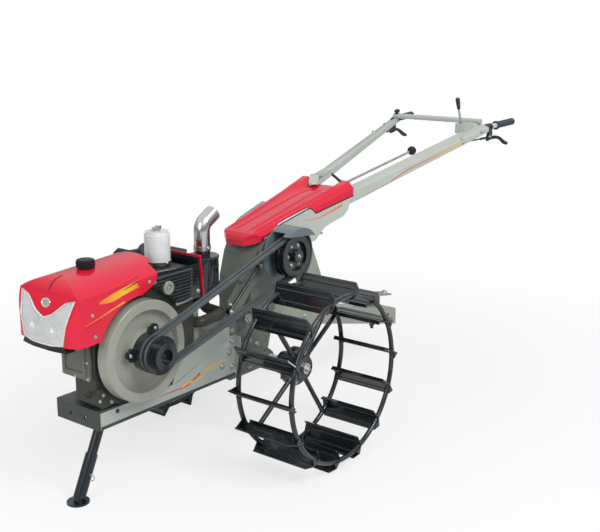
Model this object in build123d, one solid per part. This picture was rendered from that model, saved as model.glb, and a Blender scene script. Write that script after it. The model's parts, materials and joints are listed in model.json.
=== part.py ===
from build123d import *
import math
import os

# Two-wheel walking tractor, millimetres.
# Working frame: X forward, Y left, Z up, ground at Z 0, wheel axle at X 0.
# Every piece is shifted along X at the end so the origin is under the middle of the length.

# Reach of the whole machine
NOSE_X = 918.0
GRIP_END_X = -1840.0
MID_X = (NOSE_X + GRIP_END_X) / 2

# Cage wheels
LUG_COUNT = 14
HOOP_R = 318.0
HOOP_PIPE_R = 9.5
HOOP_IN_Y = 326.0
HOOP_OUT_Y = 570.0
LUG_T = 6.0
LUG_OUT = 50.0
LUG_IN = 36.0
LUG_TILT = 34.4
LUG_GUSSET = 29.0
LUG_CHAMFER = 24.0
LUG_FOLD = 13.0
SPOKE_R = 9.5
SPOKE_ANGLES = (58.0, 139.0, 153.0, 233.0, 320.0)
HUB_Y0 = 272.0
HUB_Y1 = 384.0
HUB_R = 46.0
FLANGE_R = 74.0
FLANGE_Y0 = 336.0
FLANGE_Y1 = 352.0
HEX_FLATS = 40.0
HEX_Y0 = 128.0

tilt = math.radians(LUG_TILT)
tip_w = HOOP_R + LUG_OUT * math.cos(tilt) + LUG_T / 2 * math.sin(tilt)
tip_u = LUG_OUT * math.sin(tilt) - LUG_T / 2 * math.cos(tilt)
TIP_R = math.hypot(tip_w, tip_u)
TIP_LEAD = math.degrees(math.atan2(tip_u, tip_w))
LUG_PITCH = 360.0 / LUG_COUNT
AXLE_Z = TIP_R * math.cos(math.radians(LUG_PITCH / 2))
LUG_START = 270.0 - LUG_PITCH / 2 - TIP_LEAD

# Axle housings and gearbox
HOUSING_R = 39.0
HOUSING_Y0 = 84.0
HOUSING_Y1 = 188.0
SEAL_R = 35.0
SEAL_Y1 = 200.0
JOURNAL_R = 18.0
JOURNAL_GAP = 0.3
CASE_Y = 84.0

# Frame
RAIL_Y = 110.0
RAIL_T = 6.0
RAIL_FLANGE = 46.0
RAIL_Z0 = 290.0
RAIL_Z1 = 352.0
RAIL_FRONT_X = 778.0
RAIL_REAR_X = 84.0
RAIL_REAR_Z = 456.0

# Stand
STAND_X = 662.0
STAND_Z = 316.0
FOOT_X = 806.0
STAND_TUBE_R = 18.0
SLEEVE_R = 22.0
FOOT_R = 40.0
FOOT_T = 7.0
STAND_PIN_R = 7.0

# Engine
CRANK_X = 607.0
CRANK_Z = 541.0
FLY_R = 180.0
FLY_Y0 = 122.0
FLY_Y1 = 171.0
FLY_RIM = 34.0
PULLEY_R = 68.0
PULLEY_Y0 = 190.0
PULLEY_Y1 = 242.0
PULLEY_HUB_R = 50.0
PULLEY_HUB_Y1 = 265.0
PULLEY_BORE_R = 27.0
SPIDER_ANGLES = (5.0, 112.0, 238.0)
SPIDER_R = 84.0
BELT_YS = (206.0, 228.0)
BELT_W = 13.0
BELT_T = 9.0
BELT_GAP = 0.4
ENGINE_BELT_R = 56.0
DRIVEN_X = -130.0
DRIVEN_Z = 749.0
DRIVEN_R = 86.0
DRIVEN_BELT_R = 77.0
DRIVEN_Y0 = 190.0
DRIVEN_Y1 = 244.0
SHAFT_R = 15.0


# Shape helpers

def box(x0, x1, y0, y1, z0, z1):
    """A block between two corners."""
    return Pos((x0 + x1) / 2, (y0 + y1) / 2, (z0 + z1) / 2) * Box(x1 - x0, y1 - y0, z1 - z0)


def cyl_x(y, z, r, x0, x1):
    """A round bar along X."""
    return Pos((x0 + x1) / 2, y, z) * Rot(0, 90, 0) * Cylinder(r, x1 - x0)


def cyl_y(x, z, r, y0, y1):
    """A round bar along Y."""
    return Pos(x, (y0 + y1) / 2, z) * Rot(90, 0, 0) * Cylinder(r, y1 - y0)


def cyl_z(x, y, r, z0, z1):
    """A round bar along Z."""
    return Pos(x, y, (z0 + z1) / 2) * Cylinder(r, z1 - z0)


def rod(p, q, r):
    """A round bar between two points."""
    p = Vector(*p)
    q = Vector(*q)
    plane = Plane(origin=p, z_dir=(q - p))
    return plane * Cylinder(r, (q - p).length, align=(Align.CENTER, Align.CENTER, Align.MIN))


def side_plane(y):
    """Sketch plane with X along X and Y along Z, facing right."""
    return Plane(origin=(0, y, 0), x_dir=(1, 0, 0), z_dir=(0, -1, 0))


def prism_y(points, y0, y1):
    """A side outline (x, z) carried from y0 to y1."""
    face = side_plane(y1) * Polygon(*points, align=None)
    return extrude(face, amount=y1 - y0, dir=(0, -1, 0))


def prism_x(points, x0, x1):
    """A front outline (y, z) carried from x0 to x1."""
    face = Plane(origin=(x0, 0, 0), x_dir=(0, 1, 0), z_dir=(1, 0, 0)) * Polygon(*points, align=None)
    return extrude(face, amount=x1 - x0, dir=(1, 0, 0))


def prism_z(points, z0, z1):
    """A plan outline (x, y) carried from z0 to z1."""
    face = Plane.XY.offset(z0) * Polygon(*points, align=None)
    return extrude(face, amount=z1 - z0, dir=(0, 0, 1))


def tube_path(points, r, bend):
    """A round bar swept along a bent line."""
    line = FilletPolyline(*points, radius=bend)
    start = Plane(origin=line @ 0, z_dir=line % 0)
    return sweep(start * Circle(r), path=line)


def flip(shape):
    """The same piece on the other side of the machine."""
    return mirror(shape, about=Plane.XZ)


# Cage wheels

def lug_point(angle, along, lead=0.0):
    """Side-view point on a lug: along the tilted plate, and lead along the hoop."""
    a = math.radians(angle)
    w = HOOP_R + along * math.cos(tilt)
    u = along * math.sin(tilt) + lead
    x = w * math.cos(a) - u * math.sin(a)
    z = w * math.sin(a) + u * math.cos(a)
    return (x, AXLE_Z + z)


def cage():
    """Pipe hoops, folded lugs and spokes of the left wheel, welded together."""
    shape = None
    for y in (HOOP_IN_Y, HOOP_OUT_Y):
        hoop = Pos(0, y, AXLE_Z) * Rot(90, 0, 0) * Torus(HOOP_R, HOOP_PIPE_R)
        shape = hoop if shape is None else shape + hoop
    y_in = HOOP_IN_Y - HOOP_PIPE_R - 4
    y_out = HOOP_OUT_Y + HOOP_PIPE_R + 4
    length = y_out - y_in
    c = LUG_CHAMFER
    plate = [
        (0, -LUG_IN), (length - c, -LUG_IN), (length, -LUG_IN + c),
        (length, LUG_OUT - c), (length - c, LUG_OUT), (0, LUG_OUT),
    ]
    for k in range(LUG_COUNT):
        angle = LUG_START + k * LUG_PITCH
        a = math.radians(angle)
        lean = math.radians(angle + LUG_TILT)
        origin = (HOOP_R * math.cos(a), y_in, AXLE_Z + HOOP_R * math.sin(a))
        out_dir = Vector(math.cos(lean), 0, math.sin(lean))
        plane = Plane(origin=origin, x_dir=(0, 1, 0), z_dir=Vector(0, 1, 0).cross(out_dir))
        lug = extrude(plane * Polygon(*plate, align=None), amount=LUG_T / 2, both=True)
        shape += lug
        fold = Pos(length / 2 - c / 2, -LUG_IN + LUG_T / 2, -LUG_FOLD / 2) * Box(length - c, LUG_T, LUG_FOLD)
        shape += plane * fold
        corner = [lug_point(angle, 0), lug_point(angle, 0, LUG_GUSSET), lug_point(angle, LUG_OUT - 1)]
        shape += prism_y(corner, y_in, y_in + 5)
        corner[2] = lug_point(angle, LUG_OUT - c)
        shape += prism_y(corner, y_out - 5, y_out)
    for angle in SPOKE_ANGLES:
        a = math.radians(angle)
        near = (48 * math.cos(a), FLANGE_Y0 + 13, AXLE_Z + 48 * math.sin(a))
        far = (HOOP_R * math.cos(a), HOOP_IN_Y, AXLE_Z + HOOP_R * math.sin(a))
        shape += rod(near, far, SPOKE_R)
    flange = cyl_y(0, AXLE_Z, FLANGE_R, FLANGE_Y0, FLANGE_Y1)
    shape += flange
    shape -= cyl_y(0, AXLE_Z, HUB_R + 0.2, FLANGE_Y0 - 20, FLANGE_Y1 + 20)
    return shape


def hub():
    """Clamp hub of the left wheel, bored for the hexagon axle."""
    shape = cyl_y(0, AXLE_Z, HUB_R, HUB_Y0, HUB_Y1)
    shape += cyl_y(0, AXLE_Z, FLANGE_R, FLANGE_Y0 - 16.2, FLANGE_Y0 - 0.2)
    for k in range(4):
        a = math.radians(45 + 90 * k)
        x = 60 * math.cos(a)
        z = AXLE_Z + 60 * math.sin(a)
        shape += cyl_y(x, z, 8, FLANGE_Y0 - 34, FLANGE_Y0 - 16)
    return shape - hex_bar(HEX_FLATS + 0.4, HUB_Y0 - 5, HUB_Y1 + 5)


def hex_bar(flats, y0, y1):
    """Hexagon bar on the axle line."""
    face = side_plane(y1) * Pos(0, AXLE_Z) * RegularPolygon(flats / 2, 6, major_radius=False, rotation=30)
    return extrude(face, amount=y1 - y0, dir=(0, -1, 0))


def axle():
    """Left axle: round journal in the housing, hexagon outside."""
    shape = cyl_y(0, AXLE_Z, JOURNAL_R, HEX_Y0, SEAL_Y1 + 2)
    shape += hex_bar(HEX_FLATS, SEAL_Y1 + 2, HUB_Y1 + 10)
    return shape


# Gearbox and axle housings

CASE = [
    (96, 262), (128, 300), (128, 424), (96, 442), (8, 456), (-30, 500), (-36, 640), (-66, 740), (-88, 776),
    (-112, 804), (-190, 818), (-232, 790), (-232, 690), (-176, 470), (-128, 300), (-96, 262),
]
MOUNT_X = 132.0


def gearbox():
    """Gear case: drum over the axle, tower to the input shaft and the flange that takes the rails."""
    shape = prism_y(CASE, -CASE_Y, CASE_Y)
    inner = RAIL_Y - RAIL_T
    shape += box(RAIL_REAR_X + 4, MOUNT_X, -inner, inner, RAIL_Z0 + RAIL_T, RAIL_REAR_Z - 4)
    shape += cyl_y(DRIVEN_X, DRIVEN_Z, 52, CASE_Y, CASE_Y + 22)
    shape -= cyl_y(DRIVEN_X, DRIVEN_Z, SHAFT_R + JOURNAL_GAP, CASE_Y - 60, CASE_Y + 40)
    for side in (1, -1):
        shape -= box(-60, 60, side * 50 - 36, side * 50 + 36, AXLE_Z - 42, AXLE_Z + 42)
    return shape


def axle_housing():
    """Left axle housing with its flange and shaft seal."""
    shape = cyl_y(0, AXLE_Z, HOUSING_R, HOUSING_Y0, HOUSING_Y1)
    shape += cyl_y(0, AXLE_Z, 66, HOUSING_Y0, HOUSING_Y0 + 16)
    shape += cyl_y(0, AXLE_Z, SEAL_R, HOUSING_Y1, SEAL_Y1)
    return shape - cyl_y(0, AXLE_Z, JOURNAL_R + JOURNAL_GAP, HOUSING_Y0 - 5, SEAL_Y1 + 5)


# Frame

def frame_rail():
    """Left frame rail: a channel that deepens towards the gearbox."""
    y1 = RAIL_Y
    y0 = RAIL_Y - RAIL_T
    web = [(RAIL_REAR_X, RAIL_Z0), (RAIL_FRONT_X, RAIL_Z0), (RAIL_FRONT_X, RAIL_Z1), (420, RAIL_Z1),
           (RAIL_REAR_X + 40, RAIL_REAR_Z), (RAIL_REAR_X, RAIL_REAR_Z)]
    shape = prism_y(web, y0, y1)
    shape += box(140, RAIL_FRONT_X, RAIL_Y - RAIL_FLANGE, y1, RAIL_Z0, RAIL_Z0 + RAIL_T)
    shape += box(420, RAIL_FRONT_X, RAIL_Y - RAIL_FLANGE, y1, RAIL_Z1 - RAIL_T, RAIL_Z1)
    return shape


def front_crossmember():
    """Folded plate across the front of the rails, with two bolt holes and a slot."""
    x1 = RAIL_FRONT_X + 8
    shape = box(RAIL_FRONT_X, x1, -RAIL_Y, RAIL_Y, RAIL_Z0, RAIL_Z1 + 8)
    shape += box(700, x1, -RAIL_Y, RAIL_Y, RAIL_Z1, RAIL_Z1 + 8)
    for y in (-38, 38):
        shape -= cyl_x(y, 322, 7, x1 - 20, x1 + 10)
    shape -= box(722, 750, 6, 46, RAIL_Z1 - 5, RAIL_Z1 + 20)
    return shape


def stand_bracket():
    """Cross strap with two ears and the pivot pin of the front stand."""
    shape = box(620, 696, -(RAIL_Y - RAIL_T), RAIL_Y - RAIL_T, RAIL_Z1 - RAIL_T - 6, RAIL_Z1 - RAIL_T)
    for y in (-34, 26):
        side = [(630, RAIL_Z1 - 8), (692, RAIL_Z1 - 8), (684, STAND_Z - 22), (640, STAND_Z - 22)]
        ear = prism_y(side, y, y + 8)
        shape += ear
    shape += cyl_y(STAND_X, STAND_Z, STAND_PIN_R, -42, 42)
    return shape


def stand_leg():
    """Folding front stand: tube, sleeve, foot disc and pull ring."""
    top = (STAND_X, 0, STAND_Z)
    foot = (FOOT_X, 0, FOOT_T / 2)
    run = (FOOT_X - STAND_X, FOOT_T / 2 - STAND_Z)
    mid = (STAND_X + run[0] * 0.5, 0, STAND_Z + run[1] * 0.5)
    shape = rod(top, foot, STAND_TUBE_R)
    shape += rod(mid, (STAND_X + run[0] * 0.96, 0, STAND_Z + run[1] * 0.96), SLEEVE_R)
    shape += cyl_y(STAND_X, STAND_Z, 19, -21, 21)
    shape += cyl_z(FOOT_X, 0, FOOT_R, 0, FOOT_T)
    shape -= cyl_y(STAND_X, STAND_Z, STAND_PIN_R + 0.1, -60, 60)
    shape -= box(600, 900, -60, 60, -40, 0)
    return shape


# Engine

def engine_block():
    """Crankcase, cylinder barrel, radiator and tank as one plain mass."""
    case = [(440, 366), (770, 366), (786, 384), (786, 600), (760, 640), (560, 650), (440, 640)]
    shape = prism_y(case, -58, 104) - box(700, 800, -80, 0, 360, 462)
    shape += prism_y([(440, 380), (650, 380), (690, 420), (690, 620), (560, 650), (440, 640)], -128, -58)
    shape += box(300, 440, -112, 92, 420, 640)
    shape += box(320, 560, -100, 100, 640, 775)
    tank = [(560, 640), (760, 630), (850, 650), (850, 760), (820, 784), (620, 795), (560, 785)]
    shape += prism_y(tank, -110, 110)
    for y in (-1, 1):
        y0 = RAIL_Y - RAIL_FLANGE + 2
        lo = min(y * y0, y * (RAIL_Y - 8))
        hi = max(y * y0, y * (RAIL_Y - 8))
        shape += box(452, 560, lo, hi, RAIL_Z1, 382)
        shape += box(640, 694, lo, hi, RAIL_Z1, 382)
        shape += box(600, 640, min(y * 108, y * HOOD_IN_Y), max(y * 108, y * HOOD_IN_Y), 742, 764)
        shape += box(790, 820, min(y * 108, y * HOOD_IN_Y), max(y * 108, y * HOOD_IN_Y), 690, 712)
    shape -= cyl_y(CRANK_X, CRANK_Z, SHAFT_R + 5 + JOURNAL_GAP, 40, 140)
    return shape


def engine_front_cover():
    """Inspection cover on the front of the crankcase, with its raised frame."""
    shape = box(786, 798, -52, 88, 468, 600)
    shape += box(798, 806, -38, 74, 482, 586)
    shape -= box(802, 812, -26, 62, 494, 574)
    return shape


def cylinder_head():
    """Head box behind the barrel over the rounded sump end."""
    shape = box(258, 300, -100, 76, 432, 622)
    shape += cyl_y(238, 470, 38, -84, 62)
    shape += box(238, 262, -84, 62, 432, 508)
    for k in range(5):
        z = 528 + 18 * k
        shape += box(250, 258, -84, 62, z, z + 6)
    return shape


def flywheel():
    """Dished flywheel with the crank end, turned from one profile."""
    rim_in = FLY_R - FLY_RIM
    profile = [
        (0, FLY_Y0), (FLY_R, FLY_Y0), (FLY_R, FLY_Y1 - 3), (FLY_R - 3, FLY_Y1), (rim_in, FLY_Y1),
        (rim_in - 6, FLY_Y1 - 18), (rim_in - 16, FLY_Y1 - 24), (78, FLY_Y1 - 22),
        (70, FLY_Y1 - 5), (0, FLY_Y1 - 5),
    ]
    plane = Plane(origin=(CRANK_X, 0, CRANK_Z), x_dir=(1, 0, 0), z_dir=(0, 0, 1))
    shape = revolve(plane * Polygon(*profile, align=None), axis=Axis((CRANK_X, 0, CRANK_Z), (0, 1, 0)))
    shape += cyl_y(CRANK_X, CRANK_Z, SHAFT_R + 5, 60, FLY_Y0 + 5)
    return shape


def grooved(x, z, r, y0, y1, belt_r):
    """A belt pulley blank with its two grooves."""
    shape = cyl_y(x, z, r, y0, y1)
    for y in BELT_YS:
        ring = cyl_y(x, z, r + 10, y - BELT_W / 2 - BELT_GAP, y + BELT_W / 2 + BELT_GAP)
        ring -= cyl_y(x, z, belt_r - BELT_GAP, y - 30, y + 30)
        shape -= ring
    return shape


def engine_pulley():
    """Two-groove pulley on its three-armed plate, bolted to the flywheel."""
    plate_y = FLY_Y1 - 4.8
    shape = cyl_y(CRANK_X, CRANK_Z, PULLEY_R, plate_y, PULLEY_Y0 + 2)
    for angle in SPIDER_ANGLES:
        a = math.radians(angle)
        x = CRANK_X + SPIDER_R * math.cos(a)
        z = CRANK_Z + SPIDER_R * math.sin(a)
        shape += cyl_y(x, z, 16, plate_y, plate_y + 12)
        arm = Pos(SPIDER_R / 2, 0, 0) * Box(SPIDER_R, 12, 46)
        shape += Pos(CRANK_X, plate_y + 6, CRANK_Z) * Rot(0, -angle, 0) * arm
    shape += grooved(CRANK_X, CRANK_Z, PULLEY_R, PULLEY_Y0, PULLEY_Y1, ENGINE_BELT_R)
    shape += cyl_y(CRANK_X, CRANK_Z, PULLEY_HUB_R, PULLEY_Y1 - 10, PULLEY_HUB_Y1)
    shape -= cyl_y(CRANK_X, CRANK_Z, PULLEY_BORE_R, PULLEY_HUB_Y1 - 22, PULLEY_HUB_Y1 + 5)
    return shape


def driven_pulley():
    """Two-groove clutch pulley on the gearbox input shaft."""
    shape = grooved(DRIVEN_X, DRIVEN_Z, DRIVEN_R, DRIVEN_Y0, DRIVEN_Y1, DRIVEN_BELT_R)
    shape -= cyl_y(DRIVEN_X, DRIVEN_Z, 60, DRIVEN_Y1 - 14, DRIVEN_Y1 + 5)
    shape += cyl_y(DRIVEN_X, DRIVEN_Z, 26, DRIVEN_Y1 - 20, DRIVEN_Y1 + 10)
    shape += cyl_y(DRIVEN_X, DRIVEN_Z, SHAFT_R, CASE_Y - 50, DRIVEN_Y0 + 5)
    return shape


def belt_outline(r1, r2):
    """Side outline of a belt run round both pulleys at the given radii."""
    dx = DRIVEN_X - CRANK_X
    dz = DRIVEN_Z - CRANK_Z
    length = math.hypot(dx, dz)
    base = math.atan2(dz, dx)
    lean = math.acos((r1 - r2) / length)
    points = []
    steps = 24
    for k in range(steps + 1):
        a = base + lean + (2 * math.pi - 2 * lean) * k / steps
        points.append((CRANK_X + r1 * math.cos(a), CRANK_Z + r1 * math.sin(a)))
    for k in range(steps + 1):
        a = base - lean + 2 * lean * k / steps
        points.append((DRIVEN_X + r2 * math.cos(a), DRIVEN_Z + r2 * math.sin(a)))
    return points


def v_belts():
    """Two belts side by side."""
    solids = []
    inner = belt_outline(ENGINE_BELT_R + 0.6, DRIVEN_BELT_R + 0.6)
    outer = belt_outline(ENGINE_BELT_R + 0.6 + BELT_T, DRIVEN_BELT_R + 0.6 + BELT_T)
    for y in BELT_YS:
        belt = prism_y(outer, y - BELT_W / 2, y + BELT_W / 2)
        belt -= prism_y(inner, y - BELT_W, y + BELT_W)
        solids.append(belt)
    return Compound(solids)


def pulley_guard():
    """Round guard behind the clutch pulley, with its rim over the top and rear."""
    shape = cyl_y(DRIVEN_X, DRIVEN_Z, 114, 166, 232)
    shape -= cyl_y(DRIVEN_X, DRIVEN_Z, 110, 170, 240)
    shape -= cyl_y(DRIVEN_X, DRIVEN_Z, SHAFT_R + 8, 150, 180)
    wedge = [(DRIVEN_X, DRIVEN_Z)]
    for angle in (-130, -90, -45, 0, 30, 60):
        a = math.radians(angle)
        wedge.append((DRIVEN_X + 300 * math.cos(a), DRIVEN_Z + 300 * math.sin(a)))
    shape -= prism_y(wedge, 170, 240)
    sleeve = cyl_y(DRIVEN_X, DRIVEN_Z, 40, CASE_Y + 22, 168)
    shape += sleeve - cyl_y(DRIVEN_X, DRIVEN_Z, SHAFT_R + 8, CASE_Y, 180)
    return shape


# Hood, lamp and what stands on the engine

HOOD_Y = 150.0
HOOD_IN_Y = 145.0
HOOD_REAR_X = 529.0
HOOD_ARC_R = FLY_R + 17.0
HOOD_T = 5.0
LENS_T = 6.0


def hood_section(x, half, foot, shoulder, crown):
    """Cross outline of the hood: upright sides under a crowned top."""
    plane = Plane(origin=(x, 0, 0), x_dir=(0, 1, 0), z_dir=(1, 0, 0))
    lines = [
        Line((-half, shoulder), (-half, foot)),
        Line((-half, foot), (half, foot)),
        Line((half, foot), (half, shoulder)),
        ThreePointArc((half, shoulder), (0, crown), (-half, shoulder)),
    ]
    return plane * make_face(lines)


def hood_mass():
    """Solid outline of the hood with its rounded nose."""
    rear = hood_section(500, HOOD_Y, 590, 800, 846)
    front = hood_section(940, HOOD_Y, 590, 774, 820)
    shape = loft([rear, front], ruled=True)
    side = [
        Line((400, 560), (913, 560)),
        Line((913, 560), (918, 622)),
        ThreePointArc((918, 622), (901, 705), (876, 778)),
        ThreePointArc((876, 778), (860, 806), (830, 824)),
        Line((830, 824), (400, 900)),
        Line((400, 900), (400, 560)),
    ]
    face = side_plane(300) * make_face(side)
    shape &= extrude(face, amount=600, dir=(0, -1, 0))
    plan = [
        Line((400, -200), (852, -200)),
        Line((852, -200), (852, -150)),
        ThreePointArc((852, -150), (893, -137), (906, -104)),
        ThreePointArc((906, -104), (NOSE_X, 0), (906, 104)),
        ThreePointArc((906, 104), (893, 137), (852, 150)),
        Line((852, 150), (852, 200)),
        Line((852, 200), (400, 200)),
        Line((400, 200), (400, -200)),
    ]
    shape &= extrude(Plane.XY.offset(500) * make_face(plan), amount=500, dir=(0, 0, 1))
    return shape


def hood_cavity():
    """Hollow of the hood, open below and behind."""
    rear = hood_section(400, HOOD_IN_Y, 500, 793, 840)
    front = hood_section(940, HOOD_IN_Y, 500, 768, 814)
    shape = loft([rear, front], ruled=True)
    shape &= prism_y([(400, 480), (868, 480), (868, 770), (846, 800), (400, 900)], -200, 200)
    shape &= prism_z([(400, -150), (842, -150), (868, -118), (868, 118), (842, 150), (400, 150)], 480, 950)
    return shape


LOWER_EDGE = [
    (400, 560), (400, 830), (522, 830), (529, 794), (546, 763), (598, 740), (607, 660), (743, 660),
    (750, 659), (773, 627),
    (787, 619), (855, 616), (925, 621), (925, 560),
]
LENS_FRONT = [
    (-100, 622), (-50, 616), (50, 616), (100, 622), (139, 776), (95, 764), (42, 722), (0, 706), (-42, 722),
    (-95, 764),
    (-139, 776),
]
LIP_FRONT = [(-112, 600), (112, 600), (100, 621.8), (50, 615.8), (-50, 615.8), (-100, 621.8)]


def hood_trim():
    """What is cut from the hood below its lower edge and round the flywheel."""
    below = prism_y(LOWER_EDGE, -200, 200)
    return below + cyl_y(CRANK_X, CRANK_Z, HOOD_ARC_R, -200, 200)


def nose_pocket():
    """Room in the nose for the lamp and its lip."""
    shape = prism_x(LENS_FRONT, 868, 1000)
    below = [(-112, 600), (-112, 560), (112, 560), (112, 600), (100, 622), (-100, 622)]
    return shape + prism_x(below, 868, 1000)


def hood():
    """Bent sheet hood over the tank and radiator."""
    shape = hood_mass() - hood_cavity() - hood_trim() - nose_pocket()
    shape -= cyl_z(716, 0, 22.2, 800, 900)
    return shape


def headlamp_lens():
    """Lamp glass let into the nose."""
    mass = hood_mass()
    shape = mass - Pos(-LENS_T, 0, 0) * mass
    return shape & prism_x(LENS_FRONT, 872, 1000)


def headlamp_reflector():
    """Bright lamp body behind the glass."""
    shape = Pos(-LENS_T - 0.2, 0, 0) * hood_mass() & prism_x(LENS_FRONT, 868.2, 1000)
    for y in (-52, 52):
        shape -= Pos(925, y, 680) * Sphere(46)
    return shape


def headlamp_lip():
    """Dark strip under the lamp glass."""
    return hood_mass() & prism_x(LIP_FRONT, 868.2, 1000)


def fuel_cap():
    """Filler cap on the hood."""
    return cyl_z(716, 0, 30, 835.2, 861) + cyl_z(716, 0, 22, 800, 835.2)


FAN_SIDE = [(545, 792), (313, 780), (317, 653), (401, 646), (426, 671), (500, 728), (545, 750)]


def fan_guard():
    """Louvred guard at the left of the engine with its round cap."""
    shape = prism_y(FAN_SIDE, 100, 116)
    for k in range(12):
        shift = 22 * k
        slat = [(250 + shift, 600), (258 + shift, 600), (398 + shift, 810), (390 + shift, 810)]
        slat = prism_y(slat, 116, 121) & prism_y(FAN_INSET, 90, 130)
        if slat.volume > 20:
            shape += slat
    shape += cyl_y(451, 725, 31, 112, 126)
    return shape


FAN_INSET = [(533, 782), (323, 770), (326, 662), (398, 656), (422, 682), (496, 738), (533, 757)]


def rear_panel():
    """Thin upright sheet behind the engine."""
    return prism_y([(288, 812), (284, 812), (270, 622), (274, 622)], -116, 124)


def air_cleaner():
    """Round air cleaner with its neck."""
    shape = cyl_z(383, 0, 47, 790, 893)
    shape += cyl_z(383, 0, 42, 893, 904)
    shape += cyl_z(383, 0, 30, 775, 790)
    return shape


def muffler():
    """Muffler can between head and stack."""
    shape = cyl_z(149, 0, 62, 620, 770)
    shape += cyl_z(149, 0, 31, 604, 790)
    return shape


def exhaust_stack():
    """Upright pipe with its mouth bent to the rear."""
    shape = tube_path([(149, 0, 790), (149, 0, 888), (84, 0, 926)], 31, 44)
    bore = tube_path([(149, 0, 815), (149, 0, 888), (70, 0, 934)], 28, 44)
    return shape - bore


def exhaust_elbow():
    """Cast pipe from the head's side up to the muffler."""
    shape = tube_path([(278, 40, 548), (278, 98, 548), (149, 98, 556), (149, 0, 562), (149, 0, 604)], 21, 24)
    return shape - box(250, 310, -110, 76, 400, 640)


# Handlebars and cover

FLARE_X0 = -130.0
FLARE_X1 = -640.0
FLARE_Y0 = 104.0
FLARE_Y1 = 152.0
COVER_T = 5.0
PANEL_T = 6.0
PANEL_GAP = 0.3
BAR_X0 = -540.0
BAR_X1 = -1600.0
BAR_CORNER_R = 13.0
BAR_TIP_CORNER_R = 8.0
GRIP_TUBE_R = 13.0
GRIP_R = 17.0

# Cover sections: place, flank top, outer hump inset and height, inner hump y and height, valley y and height
COVER_SECTIONS = [
    (40, 784, 16, 800, 60, 804, 46, 804),
    (-464, 900, 25, 920, 84, 922, 56, 915),
    (-660, 946, 26, 972, 96, 974, 50, 941),
]
COVER_EDGE = [
    (-36, 776), (-70, 784), (-110, 812), (-196, 850), (-359, 891), (-376, 886), (-400, 864), (FLARE_X1, 908),
]
NOSE_LINE = [(FLARE_X1, 1020), (-92, 1020), (-84, 832), (-60, 824), (-44, 812), (-36, 798)]
NOSE_INSIDE = [
    (-700, 600), (-700, 1020), (-94, 1020), (-86, 826.5), (-63, 818), (-48, 807), (-41, 796), (-41, 600),
]
NOSE_PLAN = [(-36, -44), (-36, 44), (-84, 98), (-700, 200), (-700, -200), (-84, -98)]
PANEL_LOWER = [
    (-618, 884), (-606, 850), (-578, 827), (-508, 810), (-460, 796), (-430, 776), (-400, 748),
    (-215, 730), (-84, 752),
]
# Handlebar end sections: place, outer y, inner y, outer top, inner top, outer bottom, inner bottom, corner
BAR_ENDS = [
    (BAR_X0, 123.4, 74.2, 905.2, 910.3, 831.6, 864.1, BAR_CORNER_R),
    (BAR_X1, 293.0, 233.0, 1130.5, 1151.7, 1100.9, 1122.5, BAR_TIP_CORNER_R),
]
GRIP_LINE = [(-1570, 258, 1119), (-1660, 292, 1134), (-1836, 300, 1142)]


def flare_y(x):
    """Half width over cover and panels at a place along the machine."""
    return FLARE_Y0 + (FLARE_X0 - x) * (FLARE_Y1 - FLARE_Y0) / (FLARE_X0 - FLARE_X1)


def cover_form(inset):
    """Long flared form of the cover: a hump over each handlebar and a valley between them."""
    faces = []
    for x, flank, out_inset, out_z, in_y, in_z, valley_y, valley_z in COVER_SECTIONS:
        half = flare_y(x) - inset
        side = [
            (half, 600), (half, flank - inset), (half - out_inset, out_z - inset), (in_y, in_z - inset),
            (valley_y, valley_z - inset),
        ]
        plane = Plane(origin=(x, 0, 0), x_dir=(0, 1, 0), z_dir=(1, 0, 0))
        faces.append(plane * Polygon(*side, *[(-y, z) for y, z in reversed(side)], align=None))
    return loft(faces, ruled=True)


def top_cover():
    """Pressed sheet cover over the gear change, open to the rear."""
    plan = prism_z(NOSE_PLAN, 500, 1100)
    shape = cover_form(0) & prism_y(COVER_EDGE + NOSE_LINE, -200, 200) & plan
    inside = cover_form(COVER_T) & prism_y(NOSE_INSIDE, -200, 200) & Pos(-COVER_T, 0, 0) * plan
    return shape - inside


def side_panel():
    """Left side panel between gear case and handlebar, following the flare of the cover."""
    outline = [(x, z - PANEL_GAP) for x, z in COVER_EDGE[2:]] + PANEL_LOWER
    x0 = -60
    x1 = FLARE_X1 - 20
    y0 = flare_y(x0)
    y1 = flare_y(x1)
    sheet = prism_z([(x0, y0), (x1, y1), (x1, y1 - PANEL_T), (x0, y0 - PANEL_T)], 600, 1000)
    shape = prism_y(outline, 60, 200) & sheet
    for x, z in ((-206, 765), (-206, 805)):
        shape += cyl_y(x, z, 12, CASE_Y, flare_y(x) - 2)
    shape += box(-612, -560, 118, flare_y(-586) - 3, 862, 888)
    return shape - cyl_y(DRIVEN_X, DRIVEN_Z, 56, 80, 130) - handle_bar()


def handle_bar():
    """Left pressed handlebar beam, tapering to the rear."""
    faces = []
    for x, out_y, in_y, out_top, in_top, out_low, in_low, corner in BAR_ENDS:
        section = Polygon((in_y, in_low), (out_y, out_low), (out_y, out_top), (in_y, in_top), align=None)
        section = fillet(section.vertices(), corner)
        faces.append(Plane(origin=(x, 0, 0), x_dir=(0, 1, 0), z_dir=(1, 0, 0)) * section)
    return loft(faces, ruled=True)


def handle_tube():
    """Left handlebar beam with the thin tube that carries the grip."""
    return handle_bar() + tube_path(GRIP_LINE, GRIP_TUBE_R, 60)


def grip():
    """Left rubber grip."""
    shape = rod((-1668, 292.4, 1134.4), (GRIP_END_X, 300.2, 1142.2), GRIP_R)
    shape += rod((-1668, 292.4, 1134.4), (-1676, 292.8, 1134.8), GRIP_R + 5)
    return shape - rod((-1600, 289.3, 1131.3), (-1837, 300.05, 1142.05), GRIP_TUBE_R + 0.05)


def crossbar():
    """Bar across the ends of the two handlebars."""
    shape = rod((-1588, -254, 1157), (-1588, 254, 1157), GRIP_TUBE_R)
    bar = handle_bar()
    shape = shape - bar - flip(bar)
    return shape.solids().sort_by(SortBy.VOLUME)[-1]


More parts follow.
